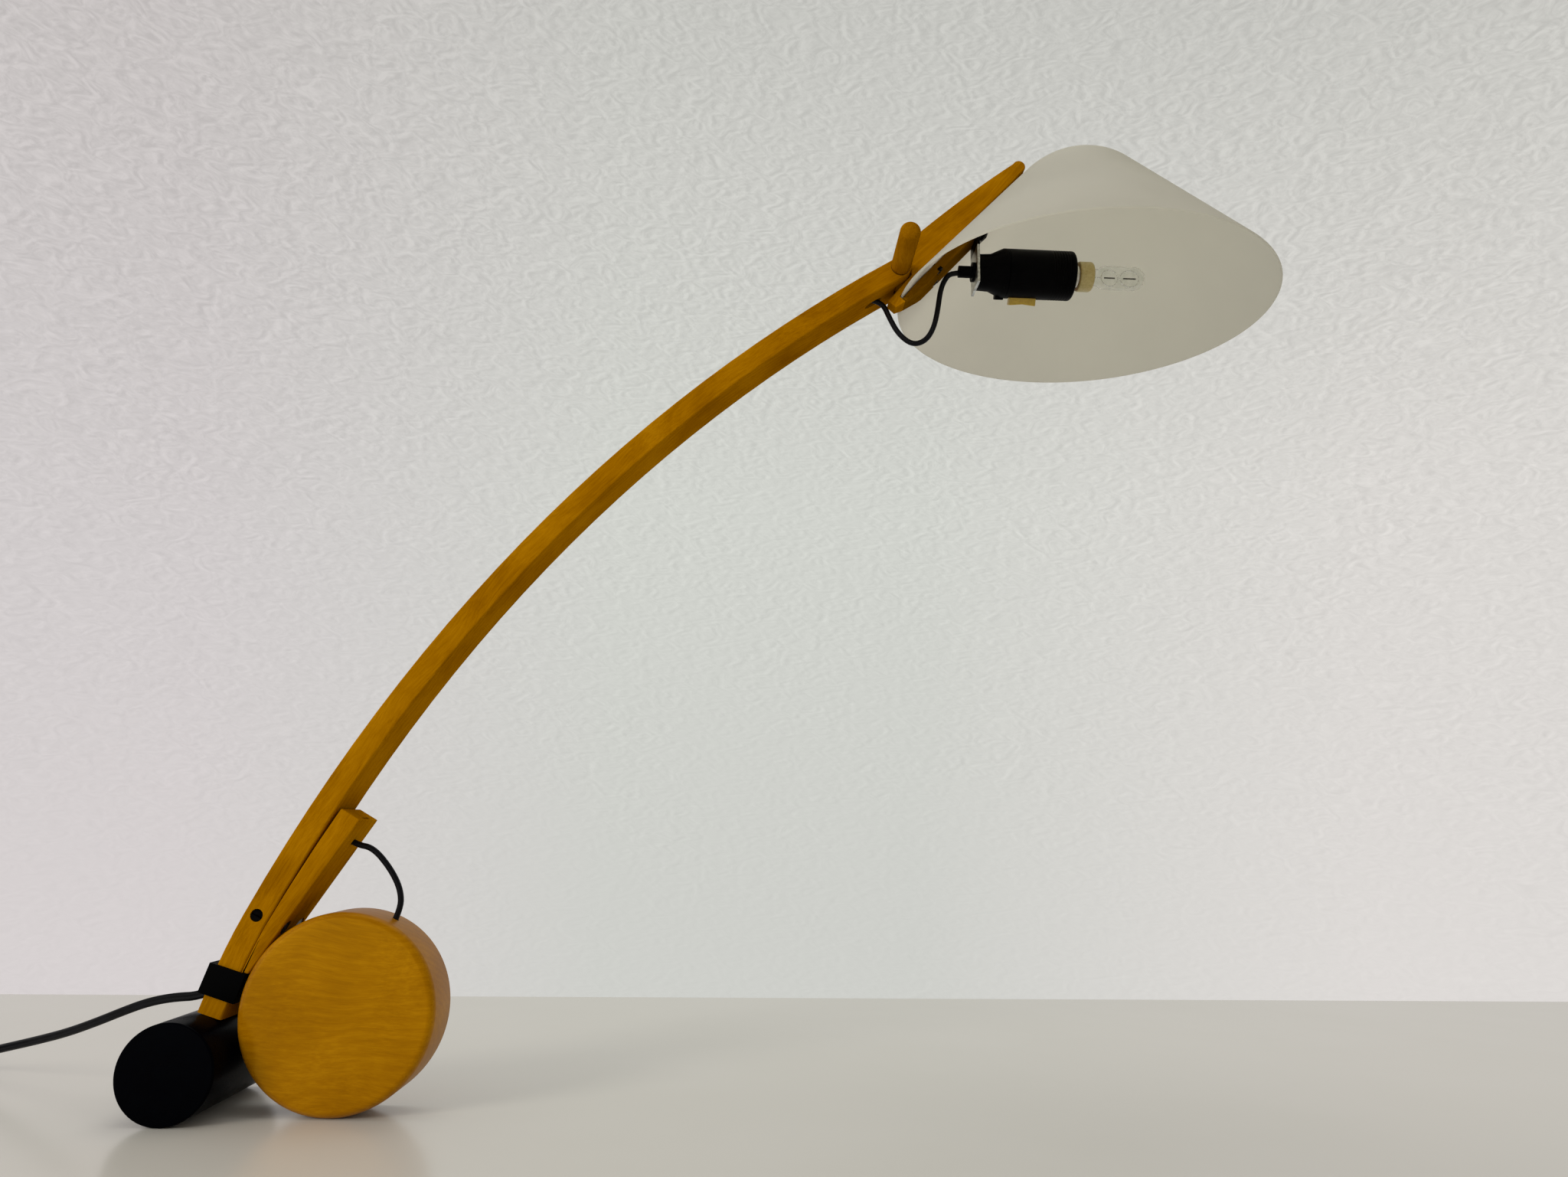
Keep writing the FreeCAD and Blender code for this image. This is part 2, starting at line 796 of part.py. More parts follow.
def wheel():
    front = d.wheel_offset - d.wheel_width / 2
    rear = d.wheel_offset + d.wheel_width / 2
    disc = cylinder("wheel_disc", side_frame(wheel_axis, back=rear), "wheel_radius", "wheel_width")
    rounded = fillet("wheel_rounded", disc, d.wheel_edge, lambda e: e.Length > 6 * d.wheel_radius)
    hollow = cylinder(
        "wheel_hollow",
        side_frame(wheel_axis, back=rear),
        "wheel_radius - wheel_rim",
        "wheel_width - wheel_face",
    )
    from_rear = side_frame(wheel_axis, back=rear)
    seat = cylinder("wheel_seat", from_rear, "back_radius + fit", "back_thickness + fit")
    place = side_frame(
        around(contact_angle(), d.magnet_distance + d.fit)
        + heading(contact_angle() + 90) * d.magnet_length / 2,
        contact_angle() + 180,
        back=d.magnet_width / 2 + d.fit,
    )
    pocket = box("magnet_pocket", place, "2 * magnet_thickness", "magnet_length", "magnet_width + 2 * fit")
    hole = cylinder(
        "wheel_tether_hole",
        pointing(around(d.tether_angle, d.wheel_radius / 2), heading(d.tether_angle)),
        "tether_radius + loose_fit",
        "wheel_radius",
    )
    tools = [hollow, seat, pocket, hole]
    back_tools = []
    back_screws = []
    for i, angle in enumerate(screw_angles()):
        place = side_frame(around(angle, d.back_screw_circle), back=rear)
        shank = cylinder(f"back_screw_shank_{i}", place, "wheel_screw_radius", "wheel_screw_length")
        head = cone(
            f"back_screw_head_{i}", place, "wheel_screw_head", "wheel_screw_radius", "wheel_screw_head_height"
        )
        back_screws.append(fuse(f"back_screw_{i}", shank, head))
        tools.append(
            cylinder(f"rim_pilot_{i}", place, "wheel_screw_radius + fit", "wheel_screw_length + fit")
        )
        back_tools.append(cylinder(f"back_way_{i}", place, "wheel_screw_radius + fit", "back_thickness"))
        back_tools.append(
            cone(
                f"back_sink_{i}",
                place,
                "wheel_screw_head + fit",
                "wheel_screw_radius + fit",
                "wheel_screw_head_height",
            )
        )
    core_tools = []
    core_screws = []
    core_back = front + d.wheel_face + d.core_thickness
    for i, angle in enumerate(screw_angles()):
        place = side_frame(around(angle, d.core_screw_circle), back=core_back)
        reach = "core_thickness + core_screw_bite"
        shank = cylinder(f"core_screw_shank_{i}", place, "core_screw_radius", reach)
        head = cone(
            f"core_screw_head_{i}", place, "core_screw_head", "core_screw_radius", "core_screw_head_height"
        )
        core_screws.append(fuse(f"core_screw_{i}", shank, head))
        tools.append(
            cylinder(f"face_pilot_{i}", place, "core_screw_radius + fit", f"{reach} + fit")
        )
        core_tools.append(cylinder(f"core_way_{i}", place, "core_screw_radius + fit", "core_thickness"))
        core_tools.append(
            cone(
                f"core_sink_{i}",
                place,
                "core_screw_head + fit",
                "core_screw_radius + fit",
                "core_screw_head_height",
            )
        )
    node(cut("wheel_shell", rounded, *tools))
    disc = cylinder("back_disc", side_frame(wheel_axis, back=rear), "back_radius", "back_thickness")
    node(cut("wheel_back", disc, *back_tools))
    disc = cylinder("core_disc", side_frame(wheel_axis, back=core_back), "core_radius", "core_thickness")
    node(cut("wheel_core", disc, *core_tools))
    node(group("wheel_screws", *back_screws))
    node(group("core_screws", *core_screws))


def magnet():
    inward = contact_angle() + 180
    side = heading(inward + 90)
    outer_face = around(contact_angle(), d.magnet_distance)
    place = side_frame(outer_face - side * d.magnet_length / 2, inward, back=d.magnet_width / 2)
    node(box("wheel_magnet", place, "magnet_thickness", "magnet_length", "magnet_width"))
    yoke_face = around(contact_angle(), d.magnet_distance - d.magnet_thickness - d.loose_fit)
    place = side_frame(yoke_face - side * d.yoke_length / 2, inward, back=d.magnet_width / 2)
    node(box("magnet_yoke", place, "yoke_thickness", "yoke_length", "magnet_width"))


def tether():
    start = around(d.tether_angle, d.wheel_radius - d.wheel_rim - d.tether_stop_gap)
    place = pointing(start, -heading(d.tether_angle))
    node(cylinder("tether_stop", place, "tether_stop_radius", "tether_stop_length"))
    node(tube("tether", tether_route(), d.tether_radius))


# ---------------------------------------------------------------- pivot and handle


def pivot_set():
    front = -half_width - d.handle_washer_thickness
    shank = primitive("Cylinder", "bolt_shank", side_frame(pivot, back=half_width))
    bind(
        shank,
        {
            "Radius": "bolt_radius",
            "Height": "arm_width + handle_washer_thickness + loose_fit + insert_length",
        },
    )
    place = side_frame(pivot, back=half_width + d.bolt_head_height)
    head = cylinder("bolt_head", place, "bolt_head_radius", "bolt_head_height")
    node(fuse("pivot_bolt", shank, head))
    washers = []
    gap = d.slot_width / 2
    for i, back in enumerate((gap, -gap + d.friction_washer_thickness)):
        place = side_frame(pivot, back=back)
        disc = cylinder(f"washer_disc_{i}", place, "friction_washer_radius", "friction_washer_thickness")
        hole = cylinder(f"washer_hole_{i}", place, "bolt_radius + fit", "friction_washer_thickness")
        washers.append(cut(f"friction_washer_{i}", disc, hole))
    node(group("friction_washers", *washers))
    place = side_frame(pivot, back=-half_width)
    disc = cylinder("handle_washer_disc", place, "handle_radius", "handle_washer_thickness")
    hole = cylinder("handle_washer_hole", place, "bolt_radius + fit", "handle_washer_thickness")
    node(cut("handle_washer", disc, hole))
    start = front - d.loose_fit
    dowel = cylinder("handle_dowel", side_frame(pivot, back=start), "handle_radius", "handle_length")
    far_end = start - d.handle_length

    def is_free_end(edge):
        return abs(edge.CenterOfMass.y - far_end) < d.fit

    rounded = fillet("handle_rounded", dowel, d.handle_round, is_free_end)
    place = side_frame(pivot, back=start)
    bore = cylinder("handle_bore", place, "insert_radius + fit", "insert_length + loose_fit")
    node(cut("handle", rounded, bore))
    sleeve = cylinder("insert_sleeve", place, "insert_radius", "insert_length")
    hole = cylinder("insert_hole", place, "bolt_radius + fit", "insert_length")
    node(cut("handle_insert", sleeve, hole))


# ---------------------------------------------------------------- head


def toe_cutters(name):
    """Two blocks that narrow the toe and the leaf's lower end, seen from below."""
    cutters = []
    run = d.toe_taper_end + d.toe_reach
    spread = d.head_width / 2 - d.toe_half_width
    taper = math.degrees(math.atan2(spread, run))
    for side in (-1, 1):
        start = on_slope(d.toe_taper_end, d.toe_height + d.fit, side * d.head_width / 2)
        face = Placement(start, Rotation(ALONG_Y, -d.shade_slope) * Rotation(ALONG_Z, 180 + side * taper))
        offset = Vector(0, 0 if side < 0 else -d.head_width, -d.head_width)
        side_name = "front" if side < 0 else "rear"
        cutter = primitive("Box", f"{name}_{side_name}", face * Placement(offset, Rotation()))
        bind(cutter, {"Length": "2 * toe_taper_end + toe_reach"})
        bind(cutter, {"Width": "head_width", "Height": "head_width"})
        cutters.append(cutter)
    return cutters


def clamp_places():
    return [s * d.clamp_spacing / 2 for s in (-1, 1)]


def finger():
    tip = (d.finger_tip, d.finger_tip_height)
    shoulder = (d.finger_shoulder, d.finger_height)
    chord = Vector(shoulder[0] - tip[0], shoulder[1] - tip[1], 0)
    outward = Vector(chord.y, -chord.x, 0).normalize()
    crown = Vector(*tip, 0) + chord * 0.5 + outward * d.finger_crown
    tip_middle = (d.finger_length, (d.finger_seat + d.finger_tip_height) / 2)
    outline = [
        (-d.toe_reach, d.toe_height),
        (-d.toe_reach, -d.toe_drop),
        (-d.kerf_depth, -d.leaf_seat - d.leaf_nose),
        (-d.kerf_depth, d.finger_seat),
        (d.finger_tip, d.finger_seat),
        (tip_middle, tip),
        ((crown.x, crown.y), shoulder),
        (d.finger_start, d.finger_height),
        (d.finger_start, d.toe_height),
    ]
    blank = padded("finger_blank", "XY_Plane", outline, "head_width", head_frame(0, 0))
    wide = side_frame(pivot, back=d.head_width / 2)
    round_nose = cylinder("finger_nose_way", wide, "arm_depth / 2 + nose_clearance", "head_width")
    hollowed = cut("finger_hollowed", blank, round_nose, *toe_cutters("finger_taper"))
    back = d.tongue_width / 2
    disc = cylinder("tongue_disc", side_frame(pivot, back=back), "tongue_radius", "tongue_width")
    place = head_frame(d.pivot_along, d.pivot_out - d.tongue_radius, back=back)
    reach = "tongue_radius + nose_clearance + fit"
    web = box("tongue_web", place, reach, "2 * tongue_radius", "tongue_width")
    whole = fuse("finger_whole", hollowed, disc, web)
    tools = [cylinder("finger_bore", wide, "bolt_radius + fit", "head_width")]
    for i, y in enumerate(clamp_places()):
        place = pointing(on_slope(d.clamp_along, 0, y), out_of_slope)
        tools.append(cylinder(f"finger_pilot_{i}", place, "clamp_radius + fit", "clamp_bite + fit"))
    node(cut("head_finger", whole, *tools))


def leaf():
    under = -d.leaf_seat - d.leaf_thickness
    outline = [
        (0, -d.leaf_seat),
        (d.leaf_length, -d.leaf_seat),
        (d.leaf_length, under),
        (d.leaf_bevel, under),
        (0, -d.leaf_seat - d.leaf_nose),
    ]
    blank = padded("leaf_blank", "XY_Plane", outline, "head_width", head_frame(0, 0))
    tools = toe_cutters("leaf_taper")
    screws = []
    for i, y in enumerate(clamp_places()):
        place = pointing(on_slope(d.clamp_along, under, y), out_of_slope)
        tools.append(cylinder(f"leaf_way_{i}", place, "clamp_radius + loose_fit", "leaf_thickness"))
        tools.append(cylinder(f"leaf_sink_{i}", place, "clamp_head + loose_fit", "clamp_head_height + fit"))
        head = cylinder(f"clamp_head_{i}", place, "clamp_head", "clamp_head_height")
        shank = cylinder(
            f"clamp_shank_{i}", place, "clamp_radius", "leaf_seat + leaf_thickness + clamp_bite"
        )
        screws.append(fuse(f"clamp_screw_{i}", head, shank))
    upwards = pointing(on_slope(d.bracket_screw_along, under), out_of_slope)
    tools.append(
        cylinder("leaf_pilot", upwards, "clamp_radius + fit", "bracket_screw_bite + fit")
    )
    node(cut("head_leaf", blank, *tools))
    node(group("clamp_screws", *screws))


def shade():
    slope = math.radians(d.shade_slope)
    apex = d.rim_radius * math.tan(slope)
    centre = apex - d.crown_radius / math.cos(slope)

    def tangent(radius):
        return (radius * math.sin(slope), centre + radius * math.cos(slope))

    def crown(radius):
        return (radius * math.sin(slope / 2), centre + radius * math.cos(slope / 2))

    inner_crown = d.crown_radius - d.shade_wall
    inner_rim = (d.rim_radius - d.shade_wall * math.sin(slope), -d.shade_wall * math.cos(slope))
    outline = [
        (d.rim_radius, 0),
        tangent(d.crown_radius),
        (crown(d.crown_radius), (0, centre + d.crown_radius)),
        (0, centre + inner_crown),
        (crown(inner_crown), tangent(inner_crown)),
        inner_rim,
    ]
    shell = turned("shade_shell", outline, Placement(shade_axis, Rotation()))
    ways = []
    for i, y in enumerate(clamp_places()):
        place = pointing(on_slope(d.clamp_along, -d.leaf_seat, y), out_of_slope)
        ways.append(cylinder(f"shade_way_{i}", place, "clamp_radius + loose_fit", "2 * leaf_seat"))
    node(cut("shade", shell, *ways))


# ---------------------------------------------------------------- bracket and lampholder


def bracket():
    under = -d.leaf_seat - d.leaf_thickness
    half = d.head_width / 2
    beside = (plate_face - on_slope(0, under)).x / up_slope.x
    tab_start = beside - (d.plate_thickness / 2) * out_of_slope.x / up_slope.x
    tab = primitive("Box", "bracket_tab", head_frame(tab_start, under - d.plate_thickness, back=half))
    bind(tab, {"Width": "plate_thickness", "Height": "head_width"})
    tab.Length = d.leaf_length - tab_start
    bottom = Vector(plate_face.x, -half, plate_face.z - d.plate_drop)
    plate = primitive("Box", "bracket_plate", Placement(bottom, Rotation()))
    bind(plate, {"Length": "plate_thickness", "Width": "head_width"})
    plate.Height = on_slope(beside, under).z - bottom.z + d.leaf_thickness
    strip = fuse("bracket_strip", tab, plate)
    above = box(
        "bracket_above", head_frame(0, under, back=half), "leaf_length", "finger_height", "head_width"
    )
    place = Placement(plate_face - ALONG_X * d.plate_thickness, Rotation(ALONG_Y, 90))
    hole = cylinder("bracket_hole", place, "nipple_radius + fit", "3 * plate_thickness")
    start = on_slope(d.bracket_screw_along, under - d.plate_thickness)
    way = cylinder(
        "bracket_way", pointing(start, out_of_slope), "clamp_radius + loose_fit", "2 * plate_thickness"
    )
    node(cut("lamp_bracket", strip, above, hole, way))
    shank = cylinder(
        "bracket_shank", pointing(start, out_of_slope), "clamp_radius", "plate_thickness + bracket_screw_bite"
    )
    start = start - out_of_slope * d.bracket_screw_head_height
    head = cylinder(
        "bracket_pan", pointing(start, out_of_slope), "bracket_screw_head", "bracket_screw_head_height"
    )
    node(fuse("bracket_screw", head, shank))


def cord_grip():
    plate_back = -d.plate_thickness
    flange_back = plate_back - d.grip_flange
    tail = flange_back - d.grip_length
    nut_back = d.barrel_wall + d.fit
    nipple_end = nut_back + d.grip_nut_height + d.fit
    bore = d.lead_radius + d.fit
    outline = [
        (bore, tail),
        (d.grip_radius, tail),
        (d.grip_radius, flange_back),
        (d.grip_flange_radius, flange_back),
        (d.grip_flange_radius, plate_back),
        (d.nipple_radius, plate_back),
        (d.nipple_radius, nipple_end),
        (bore, nipple_end),
    ]
    node(turned("cord_grip", outline, holder_frame(0)))
    place = holder_frame(nut_back)
    disc = cylinder("grip_nut_disc", place, "grip_nut_radius", "grip_nut_height")
    hole = cylinder("grip_nut_hole", place, "nipple_radius + fit", "grip_nut_height")
    node(cut("grip_nut", disc, hole))


def lampholder():
    wall = d.barrel_wall
    slope_start = d.neck_length
    slope_end = d.neck_length + d.cap_slope_length
    cap = [
        (d.nipple_radius + d.fit, 0),
        (d.neck_radius, 0),
        (d.neck_radius, slope_start),
        (d.barrel_radius, slope_end),
        (d.barrel_radius, d.cap_length),
        (d.barrel_radius - wall, d.cap_length),
        (d.barrel_radius - wall, slope_end + wall / 2),
        (d.neck_radius - wall, slope_start + wall / 2),
        (d.neck_radius - wall, wall),
        (d.nipple_radius + d.fit, wall),
    ]
    node(turned("holder_cap", cap, holder_frame(0)))
    end = d.barrel_length
    inside = d.barrel_radius - wall
    bevel = wall / 2
    barrel = [
        (inside, 0),
        (d.barrel_radius, 0),
        (d.barrel_radius, end - bevel),
        (d.barrel_radius - bevel, end),
        (d.barrel_mouth, end),
        (d.barrel_mouth, end - wall),
        (inside, end - wall),
    ]
    shell = turned("barrel_shell", barrel, holder_frame(d.cap_length + d.loose_fit))
    centre = rocker_centre()
    corner = centre + Vector(-d.rocker_length / 2 - d.rocker_gap, -d.rocker_width / 2 - d.rocker_gap / 2, 0)
    corner.z = plate_face.z - d.barrel_radius - wall
    window = box(
        "barrel_window",
        switch_side(Placement(corner, Rotation())),
        "rocker_length + 2 * rocker_gap",
        "rocker_width + rocker_gap",
        "3 * barrel_wall",
    )
    node(cut("holder_barrel", shell, window))


def insert_start():
    """Depth of the ceramic insert's back, measured from the bracket plate."""
    return d.cap_length + d.loose_fit + d.barrel_length - d.barrel_wall - d.loose_fit - d.insert_depth


def holder_inside():
    start = insert_start()
    place = holder_frame(start)
    block = cylinder("insert_block", place, "insert_outer_radius", "insert_depth")
    bore = cylinder("insert_block_bore", holder_frame(start + d.insert_floor), "insert_bore", "insert_depth")
    floor_hole = cylinder("insert_floor_hole", place, "contact_radius + fit", "insert_depth")
    node(cut("holder_insert", block, bore, floor_hole))
    place = holder_frame(start + d.insert_floor)
    sleeve = cylinder("shell_outer", place, "insert_bore - fit", "shell_length")
    hole = cylinder("shell_inner", place, "insert_bore - fit - shell_wall", "shell_length")
    node(cut("holder_thread", sleeve, hole))
    node(cylinder("holder_contact", holder_frame(start), "contact_radius", "insert_floor + insert_floor / 2"))
    bars = []
    x = d.plate_thickness + start - d.contact_bar_length
    for i, side in enumerate((-1, 1)):
        y = d.contact_bar_offset if side > 0 else -d.contact_bar_offset - d.contact_bar_thickness
        corner = plate_face + Vector(x, y, -d.contact_bar_width / 2)
        place = Placement(corner, Rotation())
        bars.append(
            box(f"contact_bar_{i}", place, "contact_bar_length", "contact_bar_thickness", "contact_bar_width")
        )
    node(group("switch_contacts", *bars))


def rocker_centre():
    along = d.plate_thickness + d.cap_length + d.loose_fit + d.rocker_centre
    return plate_face + Vector(along, 0, -d.rocker_pivot)


def rocker():
    centre = rocker_centre()
    half = d.rocker_length / 2
    low = -d.rocker_drop
    top = 2 * d.rocker_pin_radius
    outline = [
        (-half, low),
        (0, low + d.rocker_dip),
        (half, low),
        (half, low / 3),
        (half / 2, top),
        (-half / 2, top),
        (-half, low / 3),
    ]
    place = switch_side(Placement(centre, Rotation()))
    blank = padded("rocker_blank", "XZ_Plane", outline, "rocker_width", place)
    back = math.sqrt((d.barrel_radius - d.barrel_wall) ** 2 - (d.rocker_pivot + d.rocker_pin_radius) ** 2)
    place = switch_side(side_frame(centre, back=back - d.fit))
    hole = cylinder("rocker_hole", place, "rocker_pin_radius + fit", "2 * barrel_radius")
    node(cut("switch_rocker", blank, hole))
    pin = primitive("Cylinder", "switch_pin", place)
    bind(pin, {"Radius": "rocker_pin_radius"})
    pin.Height = 2 * (back - d.fit)
    node(pin)


def lamp():
    barrel_end = d.cap_length + d.loose_fit + d.barrel_length
    collar_start = barrel_end + d.collar_gap
    cap_start = collar_start - d.lamp_cap_length
    body = cylinder("lamp_cap_body", holder_frame(cap_start), "lamp_cap_radius", "lamp_cap_length")
    hollow = cylinder(
        "lamp_cap_hollow",
        holder_frame(cap_start + d.lamp_cap_wall),
        "lamp_cap_radius - lamp_cap_wall",
        "lamp_cap_length",
    )
    place = holder_frame(cap_start - d.lamp_tip_length)
    tip = cylinder("lamp_cap_tip", place, "contact_radius", "lamp_tip_length")
    node(fuse("bulb_cap", cut("lamp_cap_shell", body, hollow), tip))
    node(cylinder("bulb_collar", holder_frame(collar_start), "collar_radius", "collar_length"))
    wall = d.capsule_wall
    outer = d.capsule_radius
    inner = outer - wall
    neck = d.capsule_neck_radius
    length = d.capsule_length
    shoulder = 2 * d.capsule_neck_length
    round_start = length - outer
    bend = math.sqrt(0.5)
    outline = [
        (neck, 0),
        (neck, d.capsule_neck_length),
        (outer, shoulder),
        (outer, round_start),
        ((outer * bend, round_start + outer * bend), (0, length)),
        (0, length - wall),
        ((inner * bend, round_start + inner * bend), (inner, round_start)),
        (inner, shoulder + wall / 2),
        (neck - wall, d.capsule_neck_length + wall / 2),
        (neck - wall, 0),
    ]
    glass_start = collar_start + d.collar_length
    node(turned("bulb_capsule", outline, holder_frame(glass_start)))
    wire = cylinder(
        "filament_stem", holder_frame(glass_start), "filament_wire", "filament_first + filament_pitch"
    )
    loops = [wire]
    for i in range(2):
        reach = glass_start + d.filament_first + i * d.filament_pitch
        centre = plate_face + ALONG_X * (d.plate_thickness + reach)
        loop = primitive("Torus", f"filament_loop_{i}", side_frame(centre))
        bind(loop, {"Radius1": "filament_loop", "Radius2": "filament_wire"})
        loops.append(loop)
    node(fuse("bulb_filament", *loops))


def lead_route():
    """From inside the arm, out of its underside, round a hanging loop and into the cord grip."""
    grip_tail = plate_face - ALONG_X * (d.grip_flange + d.grip_length)
    before_grip = grip_tail - ALONG_X * d.grip_radius
    loop = [
        (284.3, 457.2),
        (289.8, 446.6),
        (298.5, 439.6),
        (306.9, 442.6),
        (312, 451.6),
        (314.5, 464.3),
        (315.9, 476),
        (318.6, 484.2),
    ]
    inside = on_main_bend(end_angle + d.lead_start_turn)
    points = [inside, *wire_exit(), *(Vector(x, 0, z) for x, z in loop)]
    end = plate_face + ALONG_X * (d.plate_thickness + d.neck_length)
    return points + [before_grip, end]


def leads():
    node(tube("head_lead", lead_route(), d.lead_radius))


# ---------------------------------------------------------------- mains cord, coil and plug


def coil_outer():
    """Middle radius of the coil's outermost turn."""
    return d.coil_middle + d.coil_pitch * (d.coil_turns - 1) / 2


def coil_centre():
    start = Vector(d.coil_start_x, d.coil_start_y, 0)
    angle = math.radians(d.coil_start_angle)
    return start - Vector(math.cos(angle), math.sin(angle), 0) * coil_outer()


def mains_route():
    """From inside the arm, back over the counterweight and down to the table at the coil."""
    entry = bend_start - heading(d.entry_angle) * d.entry_depth
    free = [
        (-79, 0, 53.1),
        (-87.8, 0.4, 53.2),
        (-97, 1.2, 53),
        (-107.2, 3, 51.2),
        (-119, 6.5, 47.2),
        (-136, 13.5, 40.6),
        (-157, 24, 32.8),
        (-181, 36.5, 25.2),
        (-205.5, 48.8, 17.8),
        (-225, 60.2, 11.2),
        (-240.4, 70.2, 6),
        (-249.6, 76.2, 3.2),
    ]
    return [entry, *(Vector(*p) for p in free), Vector(d.coil_start_x, d.coil_start_y, d.cord_radius)]


def plug_place():
    return Vector(d.plug_back_x, d.plug_back_y, d.plug_height / 2)


def tail_route():
    """From the top layer of the coil round to the plug."""
    angle = math.radians(d.coil_leave_angle)
    leave = coil_centre() + Vector(math.cos(angle), math.sin(angle), 0) * coil_outer()
    leave.z = d.cord_radius + d.coil_layer
    free = [(-311.6, 47.5, 5.6), (-312.5, 30, 3.2), (-308, 14, 3), (-301, 3, 5), (-298, -5, 7)]
    return [leave, *(Vector(*p) for p in free), plug_place()]


def mains():
    node(tube("mains_cord", mains_route(), d.cord_radius))
    node(tube("plug_tail", tail_route(), d.cord_radius))
    place = Placement(coil_centre(), Rotation())
    half_span = "coil_pitch * (coil_turns - 1) / 2 + cord_radius"
    disc = cylinder("coil_disc", place, f"coil_middle + {half_span}", "coil_layer + 2 * cord_radius")
    hole = cylinder("coil_hole", place, f"coil_middle - {half_span}", "coil_layer + 2 * cord_radius")
    ring = cut("coil_ring", disc, hole)
    node(fillet("cord_coil", ring, d.coil_edge, lambda e: e.Length > d.coil_middle))
    corner = plug_place() - Vector(d.plug_width / 2, d.plug_length, d.plug_height / 2)
    block = box("plug_block", Placement(corner, Rotation()), "plug_width", "plug_length", "plug_height")
    rounded = fillet("plug_rounded", block, d.plug_edge, lambda e: e.Length > d.plug_height)
    pins = []
    sockets = []
    for i, side in enumerate((-1, 1)):
        face = plug_place() + Vector(side * d.pin_spacing / 2, -d.plug_length, 0)
        shank = cylinder(f"plug_pin_shank_{i}", pointing(face, -ALONG_Y), "pin_radius", "pin_length")
        place = pointing(face + ALONG_Y * d.pin_set_in, -ALONG_Y)
        root = cylinder(f"plug_pin_root_{i}", place, "pin_root_radius", "pin_set_in")
        pins.append(fuse(f"plug_pin_{i}", shank, root))
        sockets.append(cylinder(f"plug_pin_socket_{i}", place, "pin_root_radius + pin_fit", "pin_set_in"))
    node(cut("plug_body", rounded, *sockets))
    node(group("plug_pins", *pins))


# ---------------------------------------------------------------- build, check and write

counterweight()
arm()
band()
track()
wheel()
magnet()
tether()
pivot_set()
finger()
leaf()
shade()
bracket()
cord_grip()
lampholder()
holder_inside()
rocker()
lamp()
leads()
mains()
doc.recompute()

failed = [thing.Name for thing in doc.Objects if {"Invalid", "Error"} & set(thing.State)]
if failed:
    raise RuntimeError(f"these objects failed: {failed}")
for name, thing in nodes.items():
    if thing.Shape.isNull() or not thing.Shape.isValid() or not thing.Shape.Solids:
        raise RuntimeError(f"{name} has no valid solid")

os.makedirs("parts", exist_ok=True)
for name, thing in nodes.items():
    thing.Shape.exportStep(f"parts/{name}.step")
    print(f"{name}: {len(thing.Shape.Solids)} solids, {thing.Shape.Volume / 1000:.3f} cm3")
print(len(nodes), "nodes")
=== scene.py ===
import math

import bmesh
import bpy
from mathutils import Matrix, Vector


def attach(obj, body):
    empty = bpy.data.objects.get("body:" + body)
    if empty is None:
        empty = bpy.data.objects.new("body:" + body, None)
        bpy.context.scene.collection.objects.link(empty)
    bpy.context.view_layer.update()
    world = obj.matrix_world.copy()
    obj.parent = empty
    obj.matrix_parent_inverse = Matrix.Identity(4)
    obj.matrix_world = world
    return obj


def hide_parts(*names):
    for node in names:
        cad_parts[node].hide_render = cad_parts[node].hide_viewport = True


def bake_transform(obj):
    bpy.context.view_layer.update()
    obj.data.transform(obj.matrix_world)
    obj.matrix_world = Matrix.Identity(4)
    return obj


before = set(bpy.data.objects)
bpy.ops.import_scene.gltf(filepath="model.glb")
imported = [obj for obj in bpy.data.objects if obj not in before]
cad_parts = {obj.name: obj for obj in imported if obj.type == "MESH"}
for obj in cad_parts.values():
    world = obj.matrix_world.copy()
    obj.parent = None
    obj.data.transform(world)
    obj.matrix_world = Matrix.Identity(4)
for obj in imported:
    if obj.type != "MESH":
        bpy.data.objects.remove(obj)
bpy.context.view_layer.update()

# Magnetic balance lamp, dressed for show. X runs from the counterweight towards the shade, Y runs
# away from the handle's side, Z is up. Sizes are written in millimetres, angles in degrees.

MM = 0.001


# ---------------- places and directions


def heading(degrees):
    """Unit vector in the XZ plane, measured from +X towards +Z."""
    return Vector((math.cos(math.radians(degrees)), 0, math.sin(math.radians(degrees))))


def mm(x, y, z):
    return Vector((x, y, z)) * MM


FOOT_ANGLE = 73.5  # of the arm's straight foot
TRACK_ANGLE = 58.5
SHADE_SLOPE = 48.6
SWITCH_ROLL = math.radians(28)  # the switch faces down, and this far to the back
MAIN_CENTRE = mm(771.35, 0, -275.62)
MAIN_RADIUS = 899.6 * MM
FOOT = mm(-65.19, 0, 47.01)
WEIGHT_AXIS = FOOT - heading(FOOT_ANGLE) * 24 * MM
WHEEL_AXIS = mm(0, 0, 50)
CONTACT_ANGLE = TRACK_ANGLE + 90
NUT_ANGLE = 65.52
WOOD_HALF = 14.5  # half the width of arm and track
CLAMP_HALF = 10  # half the width of the head's two wooden pieces
CLAMP_CLIMB, CLAMP_SPREAD = 29, 7.4  # the clamp screws' place up the slope, and to either side
PIVOT = mm(289.274, 0, 483.903)
HEAD_ORIGIN = mm(290.242, 0, 468.518)
SHADE_AXIS = mm(404.242, 0, 468.518)
PLATE_FACE = mm(338.942, 0, 490.118)
LAMP_SEAT = -3
SWITCH_OUT = Vector((0, math.sin(SWITCH_ROLL), -math.cos(SWITCH_ROLL)))
UP_SLOPE = heading(SHADE_SLOPE)
OUT_OF_SLOPE = heading(SHADE_SLOPE + 90)
ALONG_X, ALONG_Y, ALONG_Z = (Vector(v) for v in ((1, 0, 0), (0, 1, 0), (0, 0, 1)))


